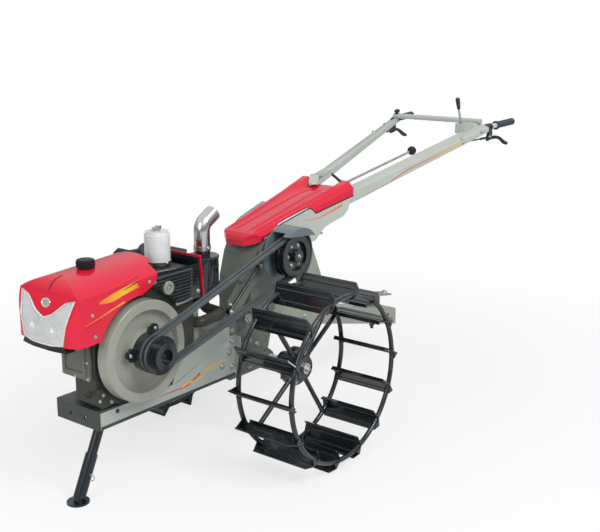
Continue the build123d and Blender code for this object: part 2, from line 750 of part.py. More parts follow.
LEVER_LINE = [(-1612, 284, 1074), (-1700, 297, 1073), (-1780, 301, 1036)]
LEVER_BRACKET = [
    (-1604, 1124), (-1640, 1128), (-1646, 1094), (-1636, 1068), (-1602, 1062), (-1596, 1078), (-1610, 1094),
]


def hand_lever():
    """Left hand lever under the grip, with its cast bracket round the tube."""
    shape = tube_path(LEVER_LINE, 6.5, 40)
    shape += prism_y(LEVER_BRACKET, 277, 290)
    shape += rod((-1608, 272.4, 1125.3), (-1636, 282.9, 1130), GRIP_TUBE_R + 6)
    return shape - tube_path(GRIP_LINE, GRIP_TUBE_R, 60)


def lever_gate():
    """Slotted bracket on the inner side of the left handlebar."""
    shape = box(-1556, -1462, 180, 238, 1148, 1154)
    shape += box(-1468, -1462, 180, 232, 1106, 1154)
    shape += box(-1556, -1462, 206, 238, 1104, 1154)
    shape -= box(-1545, -1474, 188, 204, 1140, 1170)
    shape -= handle_bar()
    return shape.solids().sort_by(SortBy.VOLUME)[-1]


def gate_lever():
    """Upright lever with its long knob."""
    shape = rod((-1500, 196, 1122), (-1455, 200, 1230), 4.6)
    shape += cyl_y(-1500, 1122, 9, 188, 205.8)
    knob = Cone(8, 11.5, 48, align=(Align.CENTER, Align.CENTER, Align.MIN))
    shape += Plane(origin=(-1457, 199.8, 1225), z_dir=(16, 1, 46)) * knob
    return shape + Pos(-1441.2, 200.8, 1270.3) * Sphere(11.5)


def shift_lever():
    """Long change lever with its ball."""
    shape = rod((-560, 12, 898), (-1250, 59, 1029), 6)
    shape += Pos(-1261, 60, 1031) * Sphere(21)
    return shape + rod((-560, 12, 898), (-450, 8, 776), 8) - box(-600, -300, -60, 60, 700, 775)


# Hitch

def hitch_bracket():
    """Two side plates under the gear case that carry the drawbar."""
    plate = [
        (-120, 468), (-112, 405), (-243, 366), (-560, 330), (-600, 330), (-600, 400), (-420, 440), (-240, 500),
        (-176, 500),
    ]
    shape = prism_y(plate, 50, 58)
    shape += prism_y(plate, -58, -50)
    shape += prism_y([(-150, 420), (-170, 480), (-240, 492), (-299, 470), (-299, 396), (-243, 376)], -50, 50)
    return shape - prism_y(CASE, -100, 100)


DRAWBAR_SIDE = [(-300, 392), (-300, 466), (-584, 400), (-1168, 258), (-1168, 176), (-578, 322)]


def drawbar():
    """Box drawbar sloping down to the hitch."""
    shape = prism_y(DRAWBAR_SIDE, -49.8, 49.8)
    shape += prism_y([(-940, 306), (-1150, 255), (-1150, 330), (-960, 362)], -49, -41)
    shape += prism_y([(-960, 354), (-1172, 318), (-1172, 326), (-960, 362)], -49, 20)
    shape -= cyl_y(-1096, 236, 12.1, -80, 80)
    return shape


def brace():
    """Strut from the drawbar up to the plate between the side panels."""
    shape = prism_y([(-352, 770), (-470, 770), (-655, 372), (-560, 350)], -30, 30)
    w0 = flare_y(-352) - PANEL_T - PANEL_GAP
    w1 = flare_y(-452) - PANEL_T - PANEL_GAP
    shape += prism_z([(-352, -w0), (-352, w0), (-452, w1), (-452, -w1)], 767, 774.8)
    return shape - prism_y(DRAWBAR_SIDE, -60, 60)


GEAR_PLATE = [
    (124, 456.2), (124, 596), (24, 690), (-30, 718), (-76, 718), (-76, 640), (-20, 622), (40, 560), (84, 456.2),
]


def gear_plate():
    """Plate at the left of the gear case with the cross-shaft boss."""
    shape = prism_y(GEAR_PLATE, 98, 106)
    shape -= cyl_y(51, 652, 11, 80, 120)
    shape += cyl_y(62, 524, 24, 92, 140)
    shape += cyl_y(-56, 664, 16, CASE_Y, 100)
    shape += cyl_y(62, 524, 17, 140, 152)
    return shape


def control_rods():
    """Belt tension rod at the left, and the bare cable end at each hand lever."""
    tension = rod((128, 118, 560), (-52, 118, 706), 6)
    tension += cyl_y(128, 560, 12, 106, 126)
    tension += cyl_y(-52, 706, 12, 106, 126) - cyl_y(DRIVEN_X, DRIVEN_Z, 56, 80, 160)
    cable = rod((-1612, 284, 1079), (-1415, 247, 1069), 3.5)
    cable += rod((-1585, 278.9, 1077.6), (-1552, 272.7, 1076), 6)
    cable -= tube_path(LEVER_LINE, 6.5, 40) + prism_y(LEVER_BRACKET, 277, 290)
    cable -= handle_bar()
    cable = cable.solids().sort_by(SortBy.VOLUME)[-1]
    return Compound([tension.solid(), cable, flip(cable).solid()])


# Assembly

def add(parts, name, shape):
    """Keep a piece under its name, shifted to the part frame."""
    parts[name] = Pos(-MID_X, 0, 0) * shape


def build():
    """Make every piece."""
    parts = {}
    add(parts, "gearbox", gearbox())
    for side, turn in (("left", lambda s: s), ("right", flip)):
        add(parts, f"cage_{side}", turn(cage()))
        add(parts, f"wheel_hub_{side}", turn(hub()))
        add(parts, f"axle_{side}", turn(axle()))
    for name, maker in (
        ("axle_housings", axle_housing), ("frame_rails", frame_rail), ("side_panels", side_panel),
        ("handle_tubes", handle_tube), ("grips", grip), ("hand_levers", hand_lever),
    ):
        one = maker()
        add(parts, name, Compound(list(one.solids()) + list(flip(one).solids())))
    for name, maker in (
        ("front_crossmember", front_crossmember), ("stand_bracket", stand_bracket), ("stand_leg", stand_leg),
        ("engine_block", engine_block), ("engine_front_cover", engine_front_cover),
        ("cylinder_head", cylinder_head), ("flywheel", flywheel), ("engine_pulley", engine_pulley),
        ("driven_pulley", driven_pulley), ("v_belts", v_belts), ("pulley_guard", pulley_guard),
        ("hood", hood), ("headlamp_lens", headlamp_lens),
        ("headlamp_reflector", headlamp_reflector), ("headlamp_lip", headlamp_lip), ("fuel_cap", fuel_cap),
        ("fan_guard", fan_guard), ("rear_panel", rear_panel), ("air_cleaner", air_cleaner),
        ("muffler", muffler),
        ("exhaust_stack", exhaust_stack), ("exhaust_elbow", exhaust_elbow), ("top_cover", top_cover),
        ("crossbar", crossbar), ("lever_gate", lever_gate), ("gate_lever", gate_lever),
        ("shift_lever", shift_lever),
        ("hitch_bracket", hitch_bracket), ("drawbar", drawbar), ("handle_brace", brace),
        ("gear_plate", gear_plate),
        ("control_rods", control_rods),
    ):
        add(parts, name, maker())
    return parts


if __name__ == "__main__":
    os.makedirs("parts", exist_ok=True)
    for name, shape in build().items():
        export_step(shape, os.path.join("parts", name + ".step"))
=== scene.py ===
import json
import math

import bmesh
import bpy
from mathutils import Matrix, Vector
from mathutils.bvhtree import BVHTree


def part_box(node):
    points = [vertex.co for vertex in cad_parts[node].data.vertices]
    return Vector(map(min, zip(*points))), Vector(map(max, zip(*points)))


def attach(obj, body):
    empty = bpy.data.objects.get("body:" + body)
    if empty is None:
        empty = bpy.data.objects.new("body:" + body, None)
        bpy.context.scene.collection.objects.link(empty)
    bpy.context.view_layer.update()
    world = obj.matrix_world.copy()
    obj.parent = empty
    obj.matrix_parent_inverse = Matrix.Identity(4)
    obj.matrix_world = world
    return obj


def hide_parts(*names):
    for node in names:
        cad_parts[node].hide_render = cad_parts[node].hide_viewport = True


# Two-wheel walking tractor in studio light. Metres, X forward, Y left, Z up, ground at Z 0.
# Sizes and places of the added pieces are in millimetres, with X counted from the wheel axle.

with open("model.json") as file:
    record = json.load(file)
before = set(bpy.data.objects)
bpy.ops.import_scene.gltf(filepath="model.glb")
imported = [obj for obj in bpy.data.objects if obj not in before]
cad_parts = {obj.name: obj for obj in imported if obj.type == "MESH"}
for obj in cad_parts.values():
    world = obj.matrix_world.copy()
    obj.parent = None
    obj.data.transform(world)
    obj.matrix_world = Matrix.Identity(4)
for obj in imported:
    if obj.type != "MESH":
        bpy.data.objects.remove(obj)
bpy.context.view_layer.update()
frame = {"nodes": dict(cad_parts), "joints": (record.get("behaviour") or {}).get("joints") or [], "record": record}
nodes = frame["nodes"]
scene = bpy.context.scene
pivots = {row["child"]: Vector(row["pos_m"]) for row in frame["joints"]}

MM = 0.001
AHEAD = Vector((1, 0, 0))
LEFT = Vector((0, 1, 0))
UP = Vector((0, 0, 1))
SIGN_OF = {"left": 1, "right": -1}
SIGNS = tuple(SIGN_OF.values())
AXLE_LOW, AXLE_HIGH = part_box("axle_left")
AXLE_X = (AXLE_LOW.x + AXLE_HIGH.x) / 2
AXLE_Z = (AXLE_LOW.z + AXLE_HIGH.z) / 2 / MM


# Places

def place(x, y, z):
    """A point of the part's frame from millimetres counted from the axle."""
    return Vector((AXLE_X + x * MM, y * MM, z * MM))


def corners(node):
    """Lowest and highest corner of a node, in millimetres counted from the axle."""
    return [(corner - place(0, 0, 0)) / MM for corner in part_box(node)]


def upright(node):
    """Middle X, radius, and lowest and highest Z of a round node that stands upright."""
    low, high = corners(node)
    return (low.x + high.x) / 2, (high.x - low.x) / 2, low.z, high.z


def pivot(body):
    """Side-view place of a body's joint, in millimetres counted from the axle."""
    at = (pivots[body] - place(0, 0, 0)) / MM
    return at.x, at.z


def around(centre, radius, angles):
    """Side-view places on a circle, at angles in degrees."""
    turns = [math.radians(angle) for angle in angles]
    return [(centre[0] + radius * math.cos(a), centre[1] + radius * math.sin(a)) for a in turns]


# Camera of the photograph, in the part's frame
CAMERA_AT = Vector((3.2415, 2.5328, 1.6425))
CAMERA_LOOK = Vector((-0.7639, -0.5972, -0.2446))
CAMERA_LENS = 58.42
SENSOR_WIDTH = 36.0

# Turning pieces
AXLE = (0.0, AXLE_Z)
CRANK = pivot("crank")
DRIVEN = pivot("input_pulley")
HOUSING_BOLT_R = 53.0
HUB_BOLT_R = 60.0
SPIDER_ANGLES = (5.0, 112.0, 238.0)
SPIDER_R = 84.0
DRIVEN_BOLT_R = 42.0

# Cage wheels, with angles in degrees
HOOP_R = 318.0
HOOP_PIPE_R = 9.5
HOOP_YS = (326.0, 570.0)
LUG_COUNT = 14
LUG_FIRST = 253.06
LUG_TILT = 34.4
SPOKE_ANGLES = (58.0, 139.0, 153.0, 233.0, 320.0)
SPOKE_FOOT_R = 48.0
SPOKE_FOOT_Y = 349.0
WELD_R = 1.9
WELD_STEP = 1.6
# Distance of a spoke's welds from its foot on the flange and from its tip on the hoop
SPOKE_WELDS = (27.0, 12.0)
# Reach from the hoop along the lug, and radius, of each ridge
LUG_RIDGES = ((42.0, 4.4), (22.0, 5.4), (-19.0, 5.4))
# Distance of the ridges' ends from the hoops' inner and outer faces
RIDGE_INSETS = (4.0, 16.0)

# Handlebars and cover
GRIP_START = (-1668.0, 292.4, 1134.4)
GRIP_END = (-1840.0, 300.2, 1142.2)
RIB_PITCH = 8.0
# Half width over cover and panels, as X and Y at its front and rear
FLARE_FRONT = (-130.0, 104.0)
FLARE_REAR = (-640.0, 152.0)
BAR_FOOT_R = 21.0
BAR_FOOT_T = 9.0

# Gear case, engine and stand
CASE_Y = 84.0
CASE_COVER_T = 7.0
ENGINE_COVER = (560.0, 520.0)
ENGINE_COVER_Y = -128.0
FAN_SIDE = [(545, 792), (313, 780), (317, 653), (401, 646), (426, 671), (500, 728), (545, 750)]
FAN_YS = (100.0, 116.0)
FAN_CAP = (451.0, 725.0)
LOUVRE_PITCH = 12.0
LOUVRE_INSET = 12.0
LOUVRE_OUT = 6.0
LOUVRE_T = 2.0
STAND_PIN = (764.0, 96.0)
STAND_SLEEVE_R = 22.0

# Lift of a printed film off its face and off another film, and how deep a plate's foot sits in its face
DECAL_LIFT = 0.4
OVER_LIFT = 0.8
SINK = 0.5
# Turn of the bolt heads in radians, and the angle in degrees from which an edge stays sharp
BOLT_SPIN = 0.3
SHARP_ANGLE = 35.0
# Distance of the points from which lines are cast at the part
FAR = 2500.0

# Strength of the surround's light on matt faces
AMBIENT = 0.50
# Reach of the floor and the point that the lamps face, in metres
FLOOR_REACH = 14.0
LAMP_AIM = Vector((0, 0, 0.5))


# Material helpers, with lengths in metres

PAINT_EDGE = 0.0018
WEAR_WIDTH = 0.0022
DUST = (0.46, 0.43, 0.38)


def new_material(name):
    """An empty node material with its output and shader."""
    mat = bpy.data.materials.new(name)
    mat.use_nodes = True
    tree = mat.node_tree
    tree.nodes.clear()
    out = tree.nodes.new("ShaderNodeOutputMaterial")
    shader = tree.nodes.new("ShaderNodeBsdfPrincipled")
    tree.links.new(shader.outputs["BSDF"], out.inputs["Surface"])
    return mat, tree, shader


def set_inputs(node, values):
    """Fixed values for some of a node's inputs."""
    for key, value in values.items():
        node.inputs[key].default_value = value


def add_node(tree, kind, **values):
    """A node with its plain settings and input defaults."""
    node = tree.nodes.new(kind)
    for key, value in values.items():
        if key in node.inputs:
            node.inputs[key].default_value = value
        else:
            setattr(node, key, value)
    return node


def noise(tree, scale, detail=4.0, rough=0.55, stretch=None):
    """Object-space noise, stretched along the axes where asked."""
    coords = add_node(tree, "ShaderNodeTexCoord").outputs["Object"]
    if stretch:
        mapping = add_node(tree, "ShaderNodeMapping", Scale=stretch)
        tree.links.new(coords, mapping.inputs["Vector"])
        coords = mapping.outputs["Vector"]
    tex = add_node(tree, "ShaderNodeTexNoise", Scale=scale, Detail=detail, Roughness=rough)
    tree.links.new(coords, tex.inputs["Vector"])
    return tex.outputs["Fac"]


def waves(tree, axis, scale):
    """Straight ribs across one axis."""
    coords = add_node(tree, "ShaderNodeTexCoord")
    tex = add_node(tree, "ShaderNodeTexWave", wave_type="BANDS", bands_direction=axis, Scale=scale)
    tree.links.new(coords.outputs["Object"], tex.inputs["Vector"])
    return tex.outputs["Fac"]


def axis_of(tree, vector, axis):
    """One axis of a vector."""
    split = add_node(tree, "ShaderNodeSeparateXYZ")
    tree.links.new(vector, split.inputs["Vector"])
    return split.outputs[axis]


def ramp(tree, fac, stops):
    """A colour ramp from (position, colour) stops."""
    node = tree.nodes.new("ShaderNodeValToRGB")
    elements = node.color_ramp.elements
    while len(elements) < len(stops):
        elements.new(0.5)
    for element, (position, colour) in zip(elements, stops):
        element.position = position
        element.color = tuple(colour) + (1.0,)
    tree.links.new(fac, node.inputs["Fac"])
    return node.outputs["Color"]


def shade(colour, factor):
    """A colour made lighter or darker."""
    return tuple(min(1.0, c * factor) for c in colour)


def spread(tree, fac, low, high, start=0.3, stop=0.7):
    """A value spread between two limits."""
    node = add_node(tree, "ShaderNodeMapRange")
    set_inputs(node, {"From Min": start, "From Max": stop, "To Min": low, "To Max": high})
    tree.links.new(fac, node.inputs["Value"])
    return node.outputs["Result"]


def calc(tree, operation, a, b):
    """Result of a sum on a linked value and either another one or a number."""
    node = add_node(tree, "ShaderNodeMath", operation=operation)
    tree.links.new(a, node.inputs[0])
    if isinstance(b, float):
        node.inputs[1].default_value = b
    else:
        tree.links.new(b, node.inputs[1])
    return node.outputs[0]


def mix(tree, fac, colour_a, colour_b):
    """Colour between a linked colour and a fixed one."""
    node = add_node(tree, "ShaderNodeMix", data_type="RGBA")
    # Inputs 6 and 7 and output 2 are this node's colours
    tree.links.new(fac, node.inputs[0])
    tree.links.new(colour_a, node.inputs[6])
    node.inputs[7].default_value = tuple(colour_b) + (1.0,)
    return node.outputs[2]


def soft_edges(tree, radius):
    """Face directions with the sharp edges rounded."""
    node = add_node(tree, "ShaderNodeBevel", Radius=radius)
    node.samples = 4
    return node.outputs["Normal"]


def edge_mask(tree):
    """One along sharp edges, nought on flat faces."""
    face = add_node(tree, "ShaderNodeNewGeometry")
    dot = add_node(tree, "ShaderNodeVectorMath", operation="DOT_PRODUCT")
    tree.links.new(soft_edges(tree, WEAR_WIDTH), dot.inputs[0])
    tree.links.new(face.outputs["Normal"], dot.inputs[1])
    return spread(tree, dot.outputs["Value"], 1.0, 0.0, 0.80, 0.97)


def dust_mask(tree):
    """More on faces that look up, broken by noise."""
    face = add_node(tree, "ShaderNodeNewGeometry")
    facing = spread(tree, axis_of(tree, face.outputs["Normal"], "Z"), 0.15, 1.0, 0.0, 1.0)
    return calc(tree, "MULTIPLY", facing, spread(tree, noise(tree, 9.0, 8.0, 0.65), 0.0, 1.0, 0.42, 0.72))


def surface(tree, shader, height, strength, distance, edge):
    """Bump on top of softened edges."""
    bump = add_node(tree, "ShaderNodeBump", Strength=strength, Distance=distance)
    tree.links.new(height, bump.inputs["Height"])
    tree.links.new(soft_edges(tree, edge), bump.inputs["Normal"])
    tree.links.new(bump.outputs["Normal"], shader.inputs["Normal"])


def tint(tree, shader, fac, dark, light):
    """Base colour that drifts between two tones."""
    tree.links.new(ramp(tree, fac, [(0.3, dark), (0.7, light)]), shader.inputs["Base Color"])


def gloss(tree, shader, fac, low, high):
    """Roughness that drifts between two limits."""
    tree.links.new(spread(tree, fac, low, high), shader.inputs["Roughness"])


def paint(name, colour, rough=0.3, coat=0.3, drift=0.10, peel=0.10, grain=420.0, wear=None, wear_amount=0.5,
          dust=0.0, shine=0.3):
    """Sprayed paint: slow colour drift, uneven gloss, orange peel, worn edges and a little dust."""
    mat, tree, shader = new_material(name)
    slow = noise(tree, 5.0, 6.0, 0.6)
    coating = ramp(tree, slow, [(0.3, shade(colour, 1 - drift)), (0.7, shade(colour, 1 + drift))])
    if wear:
        chipped = spread(tree, noise(tree, 60.0, 6.0, 0.7), 0.0, wear_amount, 0.42, 0.62)
        coating = mix(tree, calc(tree, "MULTIPLY", edge_mask(tree), chipped), coating, wear)
    if dust:
        coating = mix(tree, calc(tree, "MULTIPLY", dust_mask(tree), dust), coating, DUST)
    tree.links.new(coating, shader.inputs["Base Color"])
    gloss(tree, shader, noise(tree, 22.0), rough * 0.8, rough * 1.25)
    set_inputs(shader, {"Specular IOR Level": shine, "Coat Weight": coat, "Coat Roughness": 0.08})
    surface(tree, shader, noise(tree, grain, 2.0), peel, 0.0006, PAINT_EDGE)
    return mat


def brushed(name, colour, rough, stretch=None):
    """Bare metal with fine scratches, drawn out along the axes where asked."""
    mat, tree, shader = new_material(name)
    lines = noise(tree, 60.0, 6.0, 0.7, stretch)
    tint(tree, shader, lines, shade(colour, 0.8), shade(colour, 1.1))
    gloss(tree, shader, lines, rough * 0.75, rough * 1.3)
    set_inputs(shader, {"Metallic": 1.0})
    surface(tree, shader, lines, 0.12, 0.0004, 0.0012)
    return mat


def rubber(name, colour, axis, scale):
    """Matt rubber with moulded ribs across one axis."""
    mat, tree, shader = new_material(name)
    tint(tree, shader, noise(tree, 14.0, 6.0, 0.6), shade(colour, 0.8), shade(colour, 1.25))
    gloss(tree, shader, noise(tree, 60.0), 0.45, 0.7)
    surface(tree, shader, waves(tree, axis, scale), 0.35, 0.0012, 0.0012)
    return mat


def lamp_glass():
    """Pale moulded lamp glass with upright flutes."""
    mat, tree, shader = new_material("lamp_glass")
    cloud = noise(tree, 9.0, 3.0, 0.5)
    tint(tree, shader, cloud, (0.93, 0.95, 0.96), (1.0, 1.0, 1.0))
    gloss(tree, shader, cloud, 0.04, 0.10)
    set_inputs(shader, {"Transmission Weight": 0.62, "IOR": 1.49, "Coat Weight": 0.6})
    surface(tree, shader, waves(tree, "Y", 30.0), 0.12, 0.0012, 0.002)
    return mat


def milky_plastic():
    """Milky plastic of the air cleaner bowl."""
    mat, tree, shader = new_material("cleaner_plastic")
    cloud = noise(tree, 12.0, 5.0, 0.6)
    tint(tree, shader, cloud, (0.62, 0.65, 0.66), (0.78, 0.80, 0.80))
    gloss(tree, shader, cloud, 0.18, 0.32)
    set_inputs(shader, {"Subsurface Weight": 0.2, "Subsurface Radius": (0.01, 0.01, 0.01)})
    surface(tree, shader, waves(tree, "Z", 40.0), 0.2, 0.001, 0.002)
    return mat


def stripe(name, stops, x_from, x_to):
    """Printed film whose colour runs along the machine."""
    mat, tree, shader = new_material(name)
    coords = add_node(tree, "ShaderNodeTexCoord")
    x = axis_of(tree, coords.outputs["Object"], "X")
    share = spread(tree, x, 0.0, 1.0, place(x_from, 0, 0).x, place(x_to, 0, 0).x)
    tree.links.new(ramp(tree, share, stops), shader.inputs["Base Color"])
    gloss(tree, shader, noise(tree, 40.0), 0.22, 0.38)
    surface(tree, shader, noise(tree, 300.0, 2.0), 0.05, 0.0004, 0.0005)
    return mat


# Materials

RED = (0.68, 0.006, 0.036)
ORANGE = (0.80, 0.14, 0.008)
YELLOW = (0.84, 0.50, 0.02)
SALMON = (0.80, 0.30, 0.22)
GREY_GREEN = (0.29, 0.315, 0.265)
PALE = (0.46, 0.505, 0.46)
BLACK = (0.007, 0.012, 0.016)
IRON = (0.10, 0.09, 0.08)
STEEL_EDGE = (0.16, 0.17, 0.18)
PLATE_EDGE = (0.30, 0.30, 0.28)

MATERIALS = {
    "grey_paint": paint("grey_paint", GREY_GREEN, rough=0.36, wear=IRON, dust=0.15),
    "pale_paint": paint("pale_paint", PALE, rough=0.34, wear=GREY_GREEN, drift=0.05, dust=0.06),
    "red_paint": paint("red_paint", RED, rough=0.22, coat=0.35, drift=0.04, shine=0.2),
    "black_steel": paint("black_steel", BLACK, rough=0.20, coat=0.55, wear=STEEL_EDGE, wear_amount=0.35,
                         peel=0.05, shine=0.35),
    "stand_paint": paint("stand_paint", (0.008, 0.015, 0.022), rough=0.26, wear=STEEL_EDGE),
    "bright_steel": brushed("bright_steel", (0.62, 0.62, 0.60), 0.28, (1.0, 8.0, 1.0)),
    "engine_paint": paint("engine_paint", (0.30, 0.31, 0.26), rough=0.34, wear=IRON, dust=0.08),
    "dark_iron": paint("dark_iron", (0.035, 0.037, 0.033), rough=0.45, coat=0.1, peel=0.4, grain=160.0,
                       dust=0.12),
    "stack_chrome": brushed("stack_chrome", (0.55, 0.57, 0.57), 0.20, (1.0, 1.0, 6.0)),
    "belt_rubber": rubber("belt_rubber", (0.066, 0.086, 0.094), "X", 60.0),
    "grip_rubber": rubber("grip_rubber", (0.030, 0.043, 0.056), "X", 28.0),
    "lamp_glass": lamp_glass(),
    "lamp_chrome": brushed("lamp_chrome", (0.86, 0.87, 0.87), 0.12),
    "cleaner_plastic": milky_plastic(),
    "cap_plastic": paint("cap_plastic", (0.010, 0.010, 0.011), rough=0.42, coat=0.0, peel=0.3),
}
BLACK_STEEL = MATERIALS["black_steel"]
DARK_IRON = MATERIALS["dark_iron"]
CAP_PLASTIC = MATERIALS["cap_plastic"]
CASE_PAINT = paint("case_paint", (0.15, 0.17, 0.145), rough=0.42, coat=0.15, peel=0.5, grain=150.0, wear=IRON,
                   dust=0.15)
# Dark paint of the front crossmember and the rails' rolled edges: painted shade, much darker than the grey paint
# beside it
SHADE_PLATE_PAINT = paint("plate_paint_painted_shade", (0.040, 0.050, 0.043), rough=0.42, coat=0.15, wear=PLATE_EDGE, dust=0.10)
RAIL_PAINT = paint("rail_paint", (0.38, 0.42, 0.39), rough=0.34, wear=GREY_GREEN, drift=0.06, dust=0.06)
# Engine front cover: a darker copy of the engine paint that paints the shade under the hood; its pale worn edges
# also paint a highlight round its frame
SHADED_FRONT_PAINT = paint("front_paint_painted_shade", (0.13, 0.135, 0.115), rough=0.42, coat=0.1, peel=0.3, grain=160.0,
                    wear=PALE, dust=0.1)
GUARD_PAINT = paint("guard_paint", (0.115, 0.160, 0.185), rough=0.28, coat=0.4, wear=STEEL_EDGE)
ZINC = brushed("zinc", (0.50, 0.51, 0.49), 0.32)
WELD = paint("weld", (0.012, 0.014, 0.017), rough=0.34, coat=0.3, peel=0.6, grain=260.0)
SEAM = paint("seam", (0.006, 0.006, 0.007), rough=0.55, coat=0.0, peel=0.2)
LAMP_EDGE = paint("lamp_edge", (0.72, 0.74, 0.74), rough=0.18, coat=0.6, drift=0.03)
HOOD_FILM = stripe("hood_film", [(0.0, ORANGE), (0.45, YELLOW), (1.0, ORANGE)], 593, 792)
LINE_FILM = stripe("line_film", [(0.0, YELLOW), (1.0, ORANGE)], 669, 853)
RAIL_RED = stripe("rail_red", [(0.0, RED), (1.0, RED)], 290, 499)
RAIL_YELLOW = stripe("rail_yellow", [(0.0, YELLOW), (1.0, YELLOW)], 148, 388)
BAR_FILM = stripe("bar_film", [(0.0, YELLOW), (0.6, ORANGE), (0.9, RED)], -1390, -891)
BAR_RED = stripe("bar_red", [(0.0, RED), (1.0, RED)], -880, -631)
PANEL_FILM = stripe("panel_film", [(0.0, ORANGE), (1.0, SALMON)], -569, -321)

# The record's slot that each finish of the added pieces belongs to.
SLOT_OF = {finish.name: slot for slot, finish in MATERIALS.items()}
SLOT_OF.update({
    CASE_PAINT.name: "grey_paint", SHADE_PLATE_PAINT.name: "grey_paint", RAIL_PAINT.name: "grey_paint",
    SHADED_FRONT_PAINT.name: "dark_iron", GUARD_PAINT.name: "black_steel", ZINC.name: "bright_steel",
    WELD.name: "black_steel", SEAM.name: "black_steel", LAMP_EDGE.name: "lamp_chrome",
})
# Nodes whose finish differs from the rest of their slot
NODE_FINISH = {
    "gearbox": CASE_PAINT, "axle_housings": CASE_PAINT, "gear_plate": CASE_PAINT,
    "front_crossmember": SHADE_PLATE_PAINT, "frame_rails": RAIL_PAINT, "engine_front_cover": SHADED_FRONT_PAINT,
    "pulley_guard": GUARD_PAINT, "crossbar": MATERIALS["pale_paint"], "shift_lever": ZINC,
}


def dress_nodes():
    """Give every CAD node the finish of its slot."""
    for row in frame["record"]["subparts"]:
        mesh = nodes[row["node"]].data
        mesh.materials.clear()
        mesh.materials.append(NODE_FINISH.get(row["node"], MATERIALS[row["material_slot"]]))


# Faces of the nodes

# From each side, the direction of its lines and where the line for a place seen from there starts
SIDES = {
    "left": (-LEFT, lambda u, v: place(u, FAR, v)),
    "right": (LEFT, lambda u, v: place(u, -FAR, v)),
    "top": (-UP, lambda u, v: place(u, v, FAR)),
    "below": (UP, lambda u, v: place(u, v, -FAR)),
    "front": (-AHEAD, lambda u, v: place(FAR, u, v)),
    "rear": (AHEAD, lambda u, v: place(-FAR, u, v)),
}
trees = {}


def cast(node, start, direction):
    """Where a line first meets a node, with the face's direction."""
    if node not in trees:
        mesh = nodes[node].data
        trees[node] = BVHTree.FromPolygons([p.co for p in mesh.vertices], [p.vertices for p in mesh.polygons])
    hit, normal, _, _ = trees[node].ray_cast(start, direction)
    if hit is None:
        raise ValueError(f"nothing of {node} from {start}")
    if normal.dot(direction) > 0:
        normal = -normal
    return hit, normal


def spot(node, side, u, v):
    """Where a line from one side first meets a node, with the face's direction."""
    direction, start = SIDES[side]
    return cast(node, start(u, v), direction)


def smooth_line(points, steps):
    """A soft line through a few points."""
    pts = [Vector(p) for p in points]
    line = []
    for i in range(len(pts) - 1):
        before = pts[max(i - 1, 0)]
        after = pts[min(i + 2, len(pts) - 1)]
        for k in range(steps):
            t = k / steps
            # Terms of the cubic between two points that takes its direction from their neighbours
            a = 2 * pts[i]
            b = pts[i + 1] - before
            c = 2 * before - 5 * pts[i] + 4 * pts[i + 1] - after
            d = -before + 3 * pts[i] - 3 * pts[i + 1] + after
            line.append((a + b * t + c * t * t + d * t * t * t) / 2)
    return line + [pts[-1]]


def flat_line(points, steps=8):
    """A soft line through a few places seen from one side."""
    return smooth_line([(u, v, 0) for u, v in points], steps)


def along(node, side, points):
    """Places on a node's face along a soft line seen from one side."""
    return [spot(node, side, p.x, p.y) for p in flat_line(points, 10)]


# Mesh helpers

def stand_on(point, normal, spin=0.0):
    """A frame whose Z leaves a surface."""
    turn = normal.to_track_quat("Z", "Y").to_matrix().to_4x4()
    return Matrix.Translation(point) @ turn @ Matrix.Rotation(spin, 4, "Z")


def circle(count):
    """Cosine and sine of equal steps round a circle."""
    turns = [2 * math.pi * k / count for k in range(count)]
    return [(math.cos(a), math.sin(a)) for a in turns]


def skin(bm, loops, closed=False):
    """Faces between neighbouring loops of corners, with both ends covered unless the loops close."""
    pairs = list(zip(loops, loops[1:]))
    if closed:
        pairs.append((loops[-1], loops[0]))
    for low, high in pairs:
        for k in range(len(low)):
            j = (k + 1) % len(low)
            bm.faces.new((low[k], low[j], high[j], high[k]))
    if not closed:
        bm.faces.new(list(reversed(loops[0])))
        bm.faces.new(loops[-1])


def drum(bm, where, r0, r1, z0, z1, segments=24):
    """A round or many-sided plug between two heights of a frame."""
    shift = Matrix.Translation((0, 0, (z0 + z1) / 2 * MM))
    bmesh.ops.create_cone(bm, cap_ends=True, segments=segments, radius1=r0 * MM, radius2=r1 * MM,
                          depth=(z1 - z0) * MM, matrix=where @ shift)


def bolt(bm, point, normal, size):
    """Washer, six-sided head with a chamfer, and the shank's end."""
    where = stand_on(point, normal, BOLT_SPIN)
    drum(bm, where, size * 1.12, size * 1.08, -SINK, size * 0.18, 20)
    drum(bm, where, size * 0.88, size * 0.88, size * 0.18, size * 0.62, 6)
    drum(bm, where, size * 0.88, size * 0.70, size * 0.62, size * 0.74, 6)
    drum(bm, where, size * 0.42, size * 0.36, size * 0.74, size * 0.98, 14)


def lathe(bm, where, profile, segments=32):
    """A turned form from (radius, height) pairs in a frame."""
    loops = []
    for r, z in profile:
        points = [where @ Vector((r * MM * c, r * MM * s, z * MM)) for c, s in circle(segments)]
        loops.append([bm.verts.new(p) for p in points])
    skin(bm, loops)


def ball(bm, centre, axis, radius):
    """A ball with a flat at its foot."""
    profile = []
    for k in range(13):
        a = math.radians(-78 + 168 * k / 12)
        profile.append((max(radius * math.cos(a), 0.4), radius * math.sin(a)))
    lathe(bm, stand_on(centre, axis), profile, 28)


def pipe(bm, points, radius, segments=10, closed=False):
    """A round section carried along a line of points in the part's frame."""
    count = len(points)
    loops = []
    side = None
    for i, p in enumerate(points):
        if closed:
            ahead = points[(i + 1) % count] - points[i - 1]
        else:
            ahead = points[min(i + 1, count - 1)] - points[max(i - 1, 0)]
        ahead.normalize()
        if side is None:
            side = ahead.orthogonal()
        side = (side - ahead * side.dot(ahead)).normalized()
        other = ahead.cross(side)
        loops.append([bm.verts.new(p + (side * c + other * s) * radius * MM) for c, s in circle(segments)])
    skin(bm, loops, closed)


def ring(bm, centre, axis, radius, thick, segments=28, sides=8):
    """A closed round ring."""
    where = stand_on(centre, axis)
    points = [where @ Vector((radius * MM * c, radius * MM * s, 0)) for c, s in circle(segments)]
    pipe(bm, points, thick, sides, closed=True)


